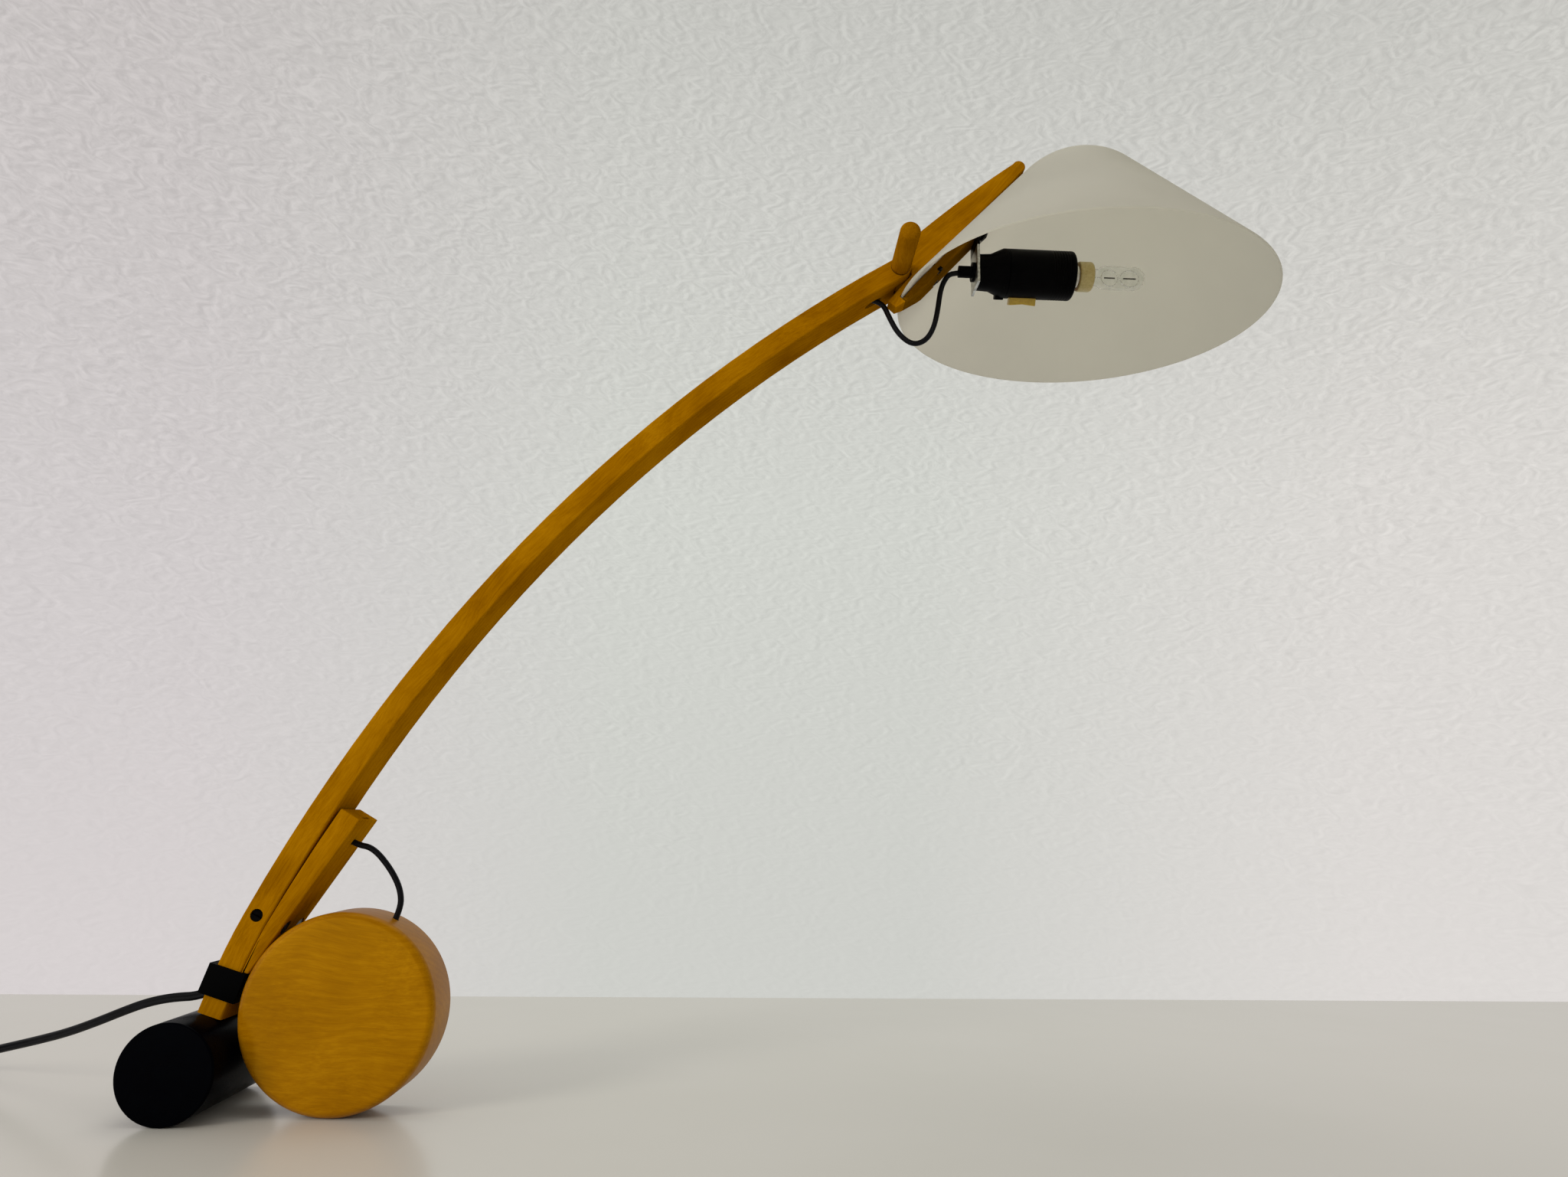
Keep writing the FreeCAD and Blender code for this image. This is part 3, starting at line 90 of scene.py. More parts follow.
def on_slope(along, out, y=0):
    """Point beside the shade's wall, in millimetres up its slope, out of it, and along Y."""
    return HEAD_ORIGIN + (UP_SLOPE * along + OUT_OF_SLOPE * out + ALONG_Y * y) * MM


def from_foot(along, out, y=0):
    """Point beside the straight foot of the arm, out towards the counterweight's far side."""
    return FOOT + (heading(FOOT_ANGLE) * along + heading(FOOT_ANGLE + 90) * out + ALONG_Y * y) * MM


def around_wheel(angle, distance, y=0):
    return WHEEL_AXIS + (heading(angle) * distance + ALONG_Y * y) * MM


def in_holder(depth):
    """Work frame on the lampholder's axis, X out through the switch, Z towards the lamp."""
    return frame_of(PLATE_FACE + ALONG_X * depth * MM, SWITCH_OUT, ALONG_X)


def frame_of(origin, x_axis, z_axis):
    """Matrix of a work frame with its X and Z along the two directions."""
    z = Vector(z_axis).normalized()
    y = z.cross(Vector(x_axis)).normalized()
    x = y.cross(z)
    turned_axes = Matrix((x, y, z)).transposed().to_4x4()
    return Matrix.Translation(origin) @ turned_axes


# ---------------- workshop helpers


def clear_selection():
    if bpy.context.object and bpy.context.object.mode != "OBJECT":
        bpy.ops.object.mode_set(mode="OBJECT")
    bpy.ops.object.select_all(action="DESELECT")


def only(piece):
    clear_selection()
    piece.select_set(True)
    bpy.context.view_layer.objects.active = piece


def started(name):
    """Names the primitive that was just added and opens it for editing with nothing selected."""
    piece = bpy.context.object
    piece.name = piece.data.name = name
    bpy.ops.object.mode_set(mode="EDIT")
    bpy.ops.mesh.select_all(action="DESELECT")
    return piece


def pick(piece, kind, chosen):
    """Selects only the verts, edges or faces that chosen(element) says yes to."""
    bpy.ops.mesh.select_mode(type={"verts": "VERT", "edges": "EDGE", "faces": "FACE"}[kind])
    bpy.ops.mesh.select_all(action="DESELECT")
    mesh = bmesh.from_edit_mesh(piece.data)
    for element in getattr(mesh, kind):
        if chosen(element):
            element.select_set(True)
    mesh.select_flush_mode()
    bmesh.update_edit_mesh(piece.data)


def closed_up(piece):
    """Merges doubles, turns the faces outwards and leaves edit mode."""
    bpy.ops.mesh.select_mode(type="VERT")
    bpy.ops.mesh.select_all(action="SELECT")
    bpy.ops.mesh.remove_doubles(threshold=2e-6)
    bpy.ops.mesh.normals_make_consistent(inside=False)
    bpy.ops.object.mode_set(mode="OBJECT")
    return piece


def finished_with(piece, kind, **settings):
    """Adds one modifier with its settings and applies it."""
    only(piece)
    added = piece.modifiers.new(kind.title(), kind)
    for name, value in settings.items():
        setattr(added, name, value)
    bpy.ops.object.modifier_apply(modifier=added.name)
    return piece


def eased(piece, width, segments=3, angle=28):
    """Rounds every edge sharper than the angle, as a light pass with abrasive would."""
    return finished_with(
        piece,
        "BEVEL",
        width=width * MM,
        segments=segments,
        limit_method="ANGLE",
        angle_limit=math.radians(angle),
        harden_normals=False,
        miter_outer="MITER_ARC",
    )


def smooth(piece, angle=32):
    only(piece)
    bpy.ops.object.shade_smooth_by_angle(angle=math.radians(angle))
    return piece


def cut_by(piece, *cutters):
    """Takes the cutters out of the piece and bins them."""
    for cutter in cutters:
        finished_with(piece, "BOOLEAN", operation="DIFFERENCE", object=cutter, solver="EXACT")
        bpy.data.objects.remove(cutter)
    return piece


def set_in_place(piece, place):
    """Moves the finished mesh by a work frame and leaves the object at the origin."""
    only(piece)
    piece.matrix_world = place
    bpy.ops.object.transform_apply()
    return piece


def joined(name, pieces):
    clear_selection()
    for piece in pieces:
        piece.select_set(True)
    bpy.context.view_layer.objects.active = pieces[0]
    bpy.ops.object.join()
    pieces[0].name = pieces[0].data.name = name
    return pieces[0]


def copies(piece, places):
    """One copy of the piece, with its own mesh, at each work frame; the pattern piece is used up."""
    made = []
    for place in places:
        only(piece)
        bpy.ops.object.duplicate()
        made.append(set_in_place(bpy.context.object, place))
    bpy.data.objects.remove(piece)
    return made


def block(name, low, high):
    """Cube between two corners in millimetres, open for editing."""
    clear_selection()
    low, high = Vector(low) * MM, Vector(high) * MM
    bpy.ops.mesh.primitive_cube_add(size=1, location=(low + high) / 2, scale=high - low)
    piece = started(name)
    bpy.ops.object.mode_set(mode="OBJECT")
    bpy.ops.object.transform_apply()
    bpy.ops.object.mode_set(mode="EDIT")
    return piece


def turned(name, rings, sides=64):
    """Turned piece about local Z: a circle drawn up ring by ring through (radius, height) in millimetres.
    A radius of 0 at either end closes it with a pole; a last ring equal to the first makes a wall."""
    clear_selection()
    pole_first = rings[0][0] == 0
    drawn = rings[1:] if pole_first else rings
    radius, height = drawn[0]
    bpy.ops.mesh.primitive_circle_add(vertices=sides, radius=radius * MM, location=(0, 0, height * MM))
    piece = started(name)
    bpy.ops.object.mode_set(mode="OBJECT")
    bpy.ops.object.transform_apply()
    bpy.ops.object.mode_set(mode="EDIT")

    def draw_on(from_ring, to_ring):
        scale = to_ring[0] / from_ring[0]
        rise = (to_ring[1] - from_ring[1]) * MM
        bpy.ops.mesh.extrude_edges_move(TRANSFORM_OT_translate={"value": (0, 0, rise)})
        bpy.ops.transform.resize(value=(scale, scale, 1), center_override=(0, 0, to_ring[1] * MM))

    bpy.ops.mesh.select_all(action="SELECT")
    for from_ring, to_ring in zip(drawn, drawn[1:]):
        draw_on(from_ring, to_ring)
    if pole_first:
        pick(piece, "verts", lambda v: v.index < sides)
        draw_on(drawn[0], rings[0])
    return closed_up(piece)


def arc_rings(centre_radius, centre_height, radius, start, end, steps):
    """Rings along an arc of the profile, angles measured from outwards towards up."""
    rings = []
    for i in range(steps + 1):
        angle = math.radians(start + (end - start) * i / steps)
        rings.append((centre_radius + radius * math.cos(angle), centre_height + radius * math.sin(angle)))
    return rings


def rod(name, radius, low, high, sides=32):
    """Plain cylinder about local Z, as a drill leaves it."""
    return turned(name, [(0, low), (radius, low), (radius, high), (0, high)], sides)


def in_scene(name, data):
    """New object with that data, put into the scene."""
    piece = bpy.data.objects.new(name, data)
    bpy.context.scene.collection.objects.link(piece)
    return piece


def copy_of_node(name, node, ease, chosen):
    """A merged copy of a CAD node, with the chosen sharp edges rounded by hand."""
    piece = in_scene(name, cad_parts[node].data.copy())
    piece.data.name = name
    only(piece)
    bpy.ops.object.mode_set(mode="EDIT")
    bpy.ops.mesh.select_all(action="SELECT")
    bpy.ops.mesh.customdata_custom_splitnormals_clear()
    bpy.ops.mesh.remove_doubles(threshold=1e-6)
    bpy.ops.mesh.dissolve_limited(angle_limit=math.radians(0.6))
    pick(piece, "edges", lambda e: e.calc_face_angle(0) > math.radians(28) and chosen(e))
    bpy.ops.mesh.bevel(offset=ease * MM, segments=4, affect="EDGES", clamp_overlap=True)
    closed_up(piece)
    return smooth(piece)


def dressed_copy(name, node, ease, chosen, finish, slot, body):
    return dress(copy_of_node(name, node, ease, chosen), finish, slot, body, node)


def longer_than(length):
    return lambda edge: edge.calc_length() > length * MM


def beside(half):
    """Edges of both side faces, that many millimetres from the middle plane."""
    return lambda edge: all(abs(abs(v.co.y) - half * MM) < 2e-5 for v in edge.verts)


# ---------------- material helpers


def colour(code):
    """Linear colour of an sRGB hex code."""
    channels = [int(code[i : i + 2], 16) / 255 for i in (1, 3, 5)]
    linear = [c / 12.92 if c <= 0.04045 else ((c + 0.055) / 1.055) ** 2.4 for c in channels]
    return (*linear, 1)


def add(tree, kind, links=None, **settings):
    """Adds one shader node with its settings; links gives each input a value or another node's output."""
    node = tree.nodes.new("ShaderNode" + kind)
    for name, value in settings.items():
        setattr(node, name, value)
    for socket, value in (links or {}).items():
        if isinstance(value, bpy.types.NodeSocket):
            tree.links.new(value, node.inputs[socket])
        else:
            node.inputs[socket].default_value = value
    return node


def made_by(tree, kind, links=None, **settings):
    """Adds one node in the same way, and gives the first output that it has in use."""
    return next(output for output in add(tree, kind, links, **settings).outputs if output.enabled)


def new_material(name, **constants):
    """Material with one principled shader, its constants set straight on the sockets. The last thing
    it gives is the object's own coordinates, which all patterns are laid out in."""
    material = bpy.data.materials.new(name)
    material.use_nodes = True
    tree = material.node_tree
    shader = tree.nodes["Principled BSDF"]
    for socket, value in constants.items():
        shader.inputs[socket.replace("_", " ")].default_value = value
    return material, tree, shader, add(tree, "TexCoord").outputs["Object"]


def ramp(tree, factor, *stops):
    """Colour ramp between (position, hex code) stops."""
    node = add(tree, "ValToRGB", {"Fac": factor})
    elements = node.color_ramp.elements
    while len(elements) < len(stops):
        elements.new(0.5)
    for element, (position, code) in zip(elements, stops):
        element.position = position
        element.color = colour(code)
    return node.outputs["Color"]


def per(size):
    """Texture scale whose features are about that many millimetres wide."""
    return 1 / (size * MM)


def noise(tree, at, size, detail, rough=0.5):
    """Noise with features of that size in millimetres."""
    return made_by(tree, "TexNoise", {"Vector": at, "Scale": per(size), "Detail": detail, "Roughness": rough})


def spread(tree, factor, low=0.0, high=1.0, start=0.0, end=1.0):
    """Maps start..end to low..high and holds what lies outside."""
    limits = {"From Min": start, "From Max": end, "To Min": low, "To Max": high}
    return made_by(tree, "MapRange", {"Value": factor, **limits})


def mixed(tree, share, first, second, kind="RGBA"):
    return made_by(tree, "Mix", {"Factor": share, "A": first, "B": second}, data_type=kind)


def sums(tree, operation, *values):
    return made_by(tree, "Math", dict(enumerate(values)), operation=operation)


def vector_sums(tree, operation, *values):
    return made_by(tree, "VectorMath", dict(enumerate(values)), operation=operation)


def relief(tree, shader, height, depth, strength):
    """Bump of a real depth in millimetres."""
    normal = made_by(tree, "Bump", {"Height": height, "Distance": depth * MM, "Strength": strength})
    tree.links.new(normal, shader.inputs["Normal"])
    return normal


def patterned(name, tint, stops, rough=None, depth=0, strength=0, bumps=None, **constants):
    """Material whose colour and roughness follow one noise, tint, and whose relief follows another,
    bumps, or the same one. A noise is given as size in millimetres, detail and, if need be, roughness."""
    material, tree, shader, at = new_material(name, **constants)
    tones = noise(tree, at, *tint)
    tree.links.new(ramp(tree, tones, *stops), shader.inputs["Base Color"])
    if rough:
        tree.links.new(spread(tree, tones, *rough), shader.inputs["Roughness"])
    if depth:
        relief(tree, shader, noise(tree, at, *bumps) if bumps else tones, depth, strength)
    return material


def dress(piece, finish, slot, body, *nodes):
    """Gives the piece its material, its body and the nodes it stands for, which it hides; its slot is not
    used.
    """
    piece.data.materials.clear()
    piece.data.materials.append(MATERIALS[finish])
    return fitted(piece, slot, body, *nodes)


def fitted(piece, slot, body, *nodes):
    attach(piece, body)
    if nodes:
        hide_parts(*nodes)
    return piece


# ---------------- materials


def grain_of_bend(tree, at):
    """Grain of the bar that was bent in a press, which follows the curve: arc length, across and depth."""
    from_centre = vector_sums(tree, "SUBTRACT", at, tuple(MAIN_CENTRE))
    parts = add(tree, "SeparateXYZ", {"Vector": from_centre}).outputs
    length = sums(tree, "MULTIPLY", sums(tree, "ARCTAN2", parts["Z"], parts["X"]), MAIN_RADIUS)
    flat = made_by(tree, "CombineXYZ", {"X": parts["X"], "Y": 0.0, "Z": parts["Z"]})
    depth = sums(tree, "SUBTRACT", vector_sums(tree, "LENGTH", flat), MAIN_RADIUS)
    return made_by(tree, "CombineXYZ", {"X": length, "Y": parts["Y"], "Z": depth})


def grain_along(tree, at, origin, axes):
    """Grain of a straight piece, laid along the first of the two axes."""
    turn = frame_of(origin, *axes).to_euler()
    place = {"Location": tuple(origin), "Rotation": tuple(turn)}
    return made_by(tree, "Mapping", {"Vector": at, **place}, vector_type="TEXTURE")


def beech(
    name, origin, axes, pith, light="#BC8006", mid="#A56C00", dark="#865200",
    gloss=0.0, buffed=None, bent=False,
):
    """Beech, planed and sanded, under an amber-stained matt lacquer: deep honey yellow, fine wavy fibres,
    faint bands of the year rings and short dark ray flecks. The pith, the year rings' middle, is given
    in millimetres from where the grain starts."""
    amber = colour("#FFD23A")
    material, tree, shader, at = new_material(name, IOR=1.5, Specular_IOR_Level=gloss, Specular_Tint=amber)
    local = grain_of_bend(tree, at) if bent else grain_along(tree, at, origin, axes)
    # the fibres wander by about 5 mm to either side over the width of a hand
    bend = add(tree, "TexNoise", {"Vector": local, "Scale": per(100), "Detail": 1.5}).outputs["Color"]
    local = vector_sums(tree, "ADD", local, vector_sums(tree, "MULTIPLY", bend, (0, 28 * MM, 28 * MM)))
    along_fibres = {"Location": tuple(v * MM for v in pith), "Scale": (0.06, 1, 1)}
    slow = made_by(tree, "Mapping", {"Vector": local, **along_fibres})
    # year rings about 4.5 mm apart
    wave = {"Scale": math.tau / 20 / (4.5 * MM), "Distortion": 7.0, "Detail": 3.0, "Detail Scale": 0.5}
    rings = add(tree, "TexWave", {"Vector": slow, **wave}, wave_type="RINGS", rings_direction="X")
    # streaks of fibres about 1 mm wide, single fibres 0.7 mm wide and broad clouds about 40 mm wide
    streaks = noise(tree, slow, 1.1, 3.0, 0.7)
    fibres = noise(tree, slow, 0.7, 4.0, 0.65)
    clouds = noise(tree, local, 38, 3.0)
    # ray flecks about 0.6 mm wide and 4 mm long, a little coarser than they are so that they show
    stretched = made_by(tree, "Mapping", {"Vector": local, "Scale": (0.16, 1, 1)})
    cells = made_by(tree, "TexVoronoi", {"Vector": stretched, "Scale": per(1.7), "Randomness": 1.0})
    flecks = spread(tree, spread(tree, cells, start=0.08, end=0.2), 0.26, 0.0)
    tone = mixed(tree, 0.07, mixed(tree, 0.5, streaks, fibres, "FLOAT"), rings.outputs["Fac"], "FLOAT")
    tone = mixed(tree, 0.45, tone, clouds, "FLOAT")
    plain = ramp(tree, tone, (0.34, dark), (0.5, mid), (0.66, light))
    tree.links.new(mixed(tree, flecks, plain, colour(dark)), shader.inputs["Base Color"])
    rough = spread(tree, fibres, 0.4, 0.56)
    if buffed is not None:
        # the turned face is buffed to a shine; the rim, from 15.5 mm before the middle plane, stays matt
        depth = add(tree, "SeparateXYZ", {"Vector": at}).outputs["Y"]
        face = {"start": -15.5 * MM, "end": -19 * MM}
        tree.links.new(spread(tree, depth, gloss, buffed, **face), shader.inputs["Specular IOR Level"])
        rough = sums(tree, "MULTIPLY", rough, spread(tree, depth, 0.86, 0.42, **face))
    tree.links.new(rough, shader.inputs["Roughness"])
    relief(tree, shader, fibres, 0.05, 0.45)
    return material


def black_enamel(name):
    """Steel bar under stoved black enamel: deep black, half gloss, with a faint orange-peel ripple."""
    looks = {"IOR": 1.5, "Specular_IOR_Level": 0.015}
    stops = (0.35, "#010103"), (0.75, "#020306")
    return patterned(name, (9, 6.0, 0.7), stops, (0.22, 0.36), 0.02, 0.35, (2.6, 2.0), **looks)


def moulded_black(name, light="#050506", dark="#020203", rough=(0.36, 0.52), grain=0.5):
    """Black thermoplastic from a spark-eroded mould: satin black, a fine even grain, dull rubbed spots."""
    looks = {"IOR": 1.49, "Specular_IOR_Level": 0.03}
    return patterned(name, (11, 5.0), ((0.35, dark), (0.7, light)), rough, 0.03, 0.5, (grain, 2.0), **looks)


def flex_sheath(name):
    """Soft PVC cord sheath, extruded: near-black with a low sheen, faint die lines and a little dust."""
    looks = {"IOR": 1.52, "Specular_IOR_Level": 0.12}
    stops = (0.38, "#08080B"), (0.72, "#111116")
    return patterned(name, (7, 6.0), stops, (0.36, 0.5), 0.02, 0.5, (0.6, 2.0), **looks)


def plated_steel(name, light="#C9C9C4", dark="#8F8F8B", rough=(0.24, 0.42), wear=2.0, metal=1.0):
    """Plated or bare metal: half dull, with a soft crystalline mottle and small handling scuffs."""
    return patterned(name, (wear, 5.0), ((0.35, dark), (0.65, light)), rough, 0.01, 0.4, Metallic=metal)


def ceramic(name, light, dark, rough=(0.3, 0.46)):
    """Steatite, pressed and fired: dense, with a faint speckle and a low natural gloss."""
    stops = (0.35, dark), (0.62, light)
    return patterned(name, (1.2, 6.0, 0.7), stops, rough, 0.02, 0.4, IOR=1.54, Subsurface_Weight=0.08)


def clear_glass(name):
    """Quartz glass, blown and tipped: clear, with faint draw lines near the pinch."""
    clear = {"IOR": 1.16, "Transmission_Weight": 1.0, "Roughness": 0.02}
    return patterned(name, (5, 2.0), ((0.3, "#F2F4F2"), (0.7, "#FFFFFF")), depth=0.03, strength=0.3, **clear)


def satin_acrylic(name):
    """Cast opal acrylic sheet, thermoformed and satin-etched: milky, lets light through, warm inside."""
    material, tree, shader, at = new_material(name, IOR=1.49, Roughness=0.5, Specular_IOR_Level=0.25)
    milk = ramp(tree, noise(tree, at, 42, 4.0), (0.3, "#C2C1BB"), (0.7, "#CAC9C3"))
    tree.links.new(milk, shader.inputs["Base Color"])
    etch = noise(tree, at, 0.8, 3.0)
    tree.links.new(spread(tree, etch, 0.46, 0.6), shader.inputs["Roughness"])
    normal = relief(tree, shader, etch, 0.03, 0.4)
    glow = made_by(tree, "BsdfTranslucent", {"Color": colour("#F4F2E8"), "Normal": normal})
    both = made_by(tree, "MixShader", {0: 0.66, 1: shader.outputs[0], 2: glow})
    tree.links.new(both, tree.nodes["Material Output"].inputs["Surface"])
    return material


MATERIALS = {
    "bar": beech("beech_bent_bar", None, None, (0.0, 60.0, -30.0), bent=True),
    "track": beech("beech_track", from_foot(40, -20), (heading(TRACK_ANGLE), ALONG_Y), (0.0, 40.0, -50.0)),
    "wheel": beech(
        "beech_wheel", WHEEL_AXIS, (Vector((1, 0.06, -0.05)), ALONG_Z), (0.0, 34.0, 62.0),
        mid="#A46A00", dark="#8C5500", gloss=0.14, buffed=0.62,
    ),
    "finger": beech("beech_finger", on_slope(40, 10), (UP_SLOPE, ALONG_Y), (0.0, 38.0, 40.0)),
    # the leaf's colours are darker than the finger's beech: painted shade, for the shadow inside the
    # lampshade where the leaf sits
    "leaf": beech(
        "beech_leaf_painted_shade", on_slope(40, -5), (UP_SLOPE, ALONG_Y), (0.0, 30.0, 44.0),
        "#8C5E08", "#744C02", "#5A3800",
    ),
    "dowel": beech(
        "beech_dowel", PIVOT, (ALONG_Y, ALONG_Z), (0.0, 3.0, 9.0),
        "#AC740A", "#935F02", "#744600",
    ),
    "enamel": black_enamel("stoved_enamel_black"),
    "moulded": moulded_black("thermoplastic_black"),
    "band": moulded_black("elastomer_black", "#030304", "#010101", (0.42, 0.6), grain=0.8),
    "washer": moulded_black("nylon_black", rough=(0.3, 0.42)),
    "flex": flex_sheath("pvc_sheath_black"),
    "acrylic": satin_acrylic("opal_acrylic_satin"),
    "zinc": plated_steel("zinc_plated_steel"),
    "bright": plated_steel("bright_steel", "#C4C2BC", "#A09E99", (0.14, 0.28), 4.0),
    "blackened": plated_steel("blackened_steel", "#0F0E0E", "#070606", (0.3, 0.5), 3.0),
    "brass": plated_steel("rolled_brass", "#D9B870", "#B08D48", (0.16, 0.3), 3.0),
    "steatite": ceramic("steatite_cream", "#C2B278", "#AC9A5C"),
    "rocker": ceramic("urea_resin_cream", "#C4A636", "#AE9028", (0.26, 0.4)),
    "quartz": clear_glass("quartz_glass_clear"),
    "nickel": plated_steel("nickel_plated_brass", "#D8D6CE", "#B4B1A6", (0.16, 0.3), 3.0),
    "filament": plated_steel("tungsten_coil", "#6E6A64", "#4A4743", (0.4, 0.6), 0.6),
    # near white and only a third metal, so that the support wires show bright: a painted highlight in place
    # of a metal wire's glints
    "bright_wire_painted_highlight": plated_steel("support_wire_painted_highlight", "#FFFFFF", "#EDEBE4", (0.2, 0.35), 1.0, metal=0.3),
}

NODE_FINISHES = {
    "wheel": ("wheel_back",),
    "bright": (
        "foot_stud", "track_steel", "wheel_core", "core_screws", "wheel_magnet", "magnet_yoke",
        "pivot_bolt", "handle_washer", "grip_nut", "switch_pin",
    ),
    "blackened": ("track_screws",),
    "moulded": ("tether_stop", "cord_grip"),
    "washer": ("friction_washers",),
    "flex": ("arm_wire",),
    "brass": ("handle_insert", "holder_thread", "holder_contact", "switch_contacts"),
}
for finish, names in NODE_FINISHES.items():
    for node_name in names:
        node_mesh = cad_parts[node_name].data
        node_mesh.materials.clear()
        node_mesh.materials.append(MATERIALS[finish])


# ---------------- cords


def cord_curve(name, points, radius):
    """Smooth cord whose spline takes the route's points, given in millimetres, as its control points."""
    data = bpy.data.curves.new(name, "CURVE")
    data.dimensions = "3D"
    data.resolution_u = 6
    data.bevel_resolution = 5
    data.bevel_depth = radius * MM
    data.use_fill_caps = True
    spline = data.splines.new("NURBS")
    spline.points.add(len(points) - 1)
    for point, place in zip(spline.points, points):
        point.co = (*mm(*place), 1)
    spline.order_u = 3
    spline.use_endpoint_u = True
    spline.use_smooth = True
    return in_scene(name, data)


def line_of(curve):
    """Points of the cord's own line, read from its spline without the sheath."""
    bare = curve.copy()
    bare.data = curve.data.copy()
    bare.data.bevel_depth = 0
    bpy.context.scene.collection.objects.link(bare)
    bpy.context.view_layer.update()
    mesh = bpy.data.meshes.new_from_object(bare.evaluated_get(bpy.context.evaluated_depsgraph_get()))
    points = [tuple(v.co) for v in mesh.vertices]
    bpy.data.objects.remove(bare)
    return points


def as_mesh(curve):
    only(curve)
    bpy.ops.object.convert(target="MESH")
    bpy.ops.object.shade_smooth()
    return curve


LEAD_RADIUS = 1.65
TETHER_RADIUS = 1.6
FLEX_RADIUS = 2.3
FLEX_LOBE = 1.35
LOBE_STEPS = 10
COIL_TURNS = 5
COIL_PITCH = 4.7
COIL_LAYER = 4.6
COIL_OUTER = 34.6
COIL_START = 65
COIL_LEAVE = 150
COIL_ENTRY = (-257, 80.5)
POINTS_PER_TURN = 16

MAINS_RUN = [
    (-66.8, 0, 58.6), (-79, 0, 54.4), (-87.8, 0.4, 53.8), (-97, 1.2, 52.4), (-107.2, 3, 49.7),
    (-119, 6.5, 45.2), (-136, 13.5, 38.2), (-157, 24, 30.4), (-181, 36.5, 23.4), (-205.5, 48.8, 16.8),
    (-225, 60.2, 11.2), (-240.4, 70.2, 6), (-249.6, 76.2, 3.2),
]
PLUG_RUN = [(-311.6, 47.5, 5.6), (-312.5, 30, 3.2), (-308, 14, 3), (-301, 3, 5), (-298, -5, 7)]
PLUG_BACK = (-298, -14, 7)
PLUG_INSIDE = (-298, -26, 7)


def coil_points():
    """Two flat layers: the lower one winds inwards, the upper one winds out again to the plug's run."""
    centre_x = COIL_ENTRY[0] - COIL_OUTER * math.cos(math.radians(COIL_START))
    centre_y = COIL_ENTRY[1] - COIL_OUTER * math.sin(math.radians(COIL_START))
    last_angle = COIL_LEAVE - COIL_START + 360 * (2 * COIL_TURNS - 1)
    steps = round(last_angle / 360 * POINTS_PER_TURN)
    middle = last_angle / 2
    points = []
    for i in range(steps + 1):
        angle = last_angle * i / steps
        into = min(angle, last_angle - angle) / middle
        radius = COIL_OUTER - COIL_PITCH * (COIL_TURNS - 1) * into
        rise = min(max((angle - middle) / 180 + 0.5, 0), 1)
        turn = math.radians(COIL_START + angle)
        height = FLEX_RADIUS + COIL_LAYER * rise
        points.append((centre_x + radius * math.cos(turn), centre_y + radius * math.sin(turn), height))
    return points


def twin_section():
    """Outline of a flat twin cord: two round lobes with a groove between them, its wide side upright."""
    data = bpy.data.curves.new("twin_section", "CURVE")
    data.dimensions = "2D"
    offset = FLEX_RADIUS - FLEX_LOBE
    reach = math.degrees(math.acos(-offset / FLEX_LOBE))
    outline = []
    for side in (1, -1):
        for i in range(LOBE_STEPS):
            angle = math.radians(90 * side - reach + 2 * reach * (i + 0.5) / LOBE_STEPS)
            outline.append((FLEX_LOBE * math.cos(angle), side * offset + FLEX_LOBE * math.sin(angle)))
    spline = data.splines.new("POLY")
    spline.points.add(len(outline) - 1)
    for point, (across, high) in zip(spline.points, outline):
        point.co = (across * MM, high * MM, 0, 1)
    spline.use_cyclic_u = True
    return in_scene("twin_section", data)


def mains_lead():
    """Flat twin lead, drawn through its section, and the line that it follows."""
    lead = cord_curve("mains_lead", MAINS_RUN + coil_points() + PLUG_RUN + [PLUG_BACK, PLUG_INSIDE], 0)
    line = line_of(lead)
    section = twin_section()
    lead.data.bevel_mode = "OBJECT"
    lead.data.bevel_object = section
    lead.data.twist_mode = "Z_UP"
    as_mesh(lead)
    bpy.data.objects.remove(section)
    only(lead)
    bpy.ops.object.mode_set(mode="EDIT")
    closed_up(lead)
    dress(lead, "flex", "black_rubber", "stand", "mains_cord", "cord_coil", "plug_tail")
    return lead, line


MAIN_LEAD, MAIN_LINE = mains_lead()

HEAD_LEAD_RUN = [
    (251.74, 0, 458.15), (267.4, 0, 469.6), (280.1, 0, 466.9), (284.3, 0, 457.2), (289.8, 0, 446.6),
    (298.5, 0, 439.6), (306.9, 0, 442.6), (312, 0, 451.6), (314.5, 0, 464.3), (315.9, 0, 476),
    (318.6, 0, 484.2), (323.65, 0, 490.118), (347.3, 0, 490.118),
]
TETHER_RUN = [
    (-10.67, 0, 137.46), (-4.62, 0, 133.75), (4.2, 0, 132.6), (14.6, 0, 122), (21.6, 0, 110.5),
    (22.39, 0, 99.58), (16.38, 0, 86.27),
]


def crossing_cord(name, node, run, radius, far_body, start, end, exit_point, length):
    """Cord from the stand to another body, as a mesh tube along its run in the sheath's material."""
    cord = cord_curve(name, run, radius)
    line = line_of(cord)
    as_mesh(cord)
    cord.data.materials.clear()
    cord.data.materials.append(MATERIALS["flex"])
    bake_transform(cord)
    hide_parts(node)


HEAD_ENDS = mm(281, 0, 462), mm(318, 0, 484), mm(277, 0, 467.5)
TETHER_ENDS = mm(-5, 0, 134), mm(22.4, 0, 100), mm(-6.8, 0, 135.1)
crossing_cord("head_flex", "head_lead", HEAD_LEAD_RUN, LEAD_RADIUS, "head", *HEAD_ENDS, 0.146)
crossing_cord("tether_cord", "tether", TETHER_RUN, TETHER_RADIUS, "wheel", *TETHER_ENDS, 0.069)


# ---------------- plug

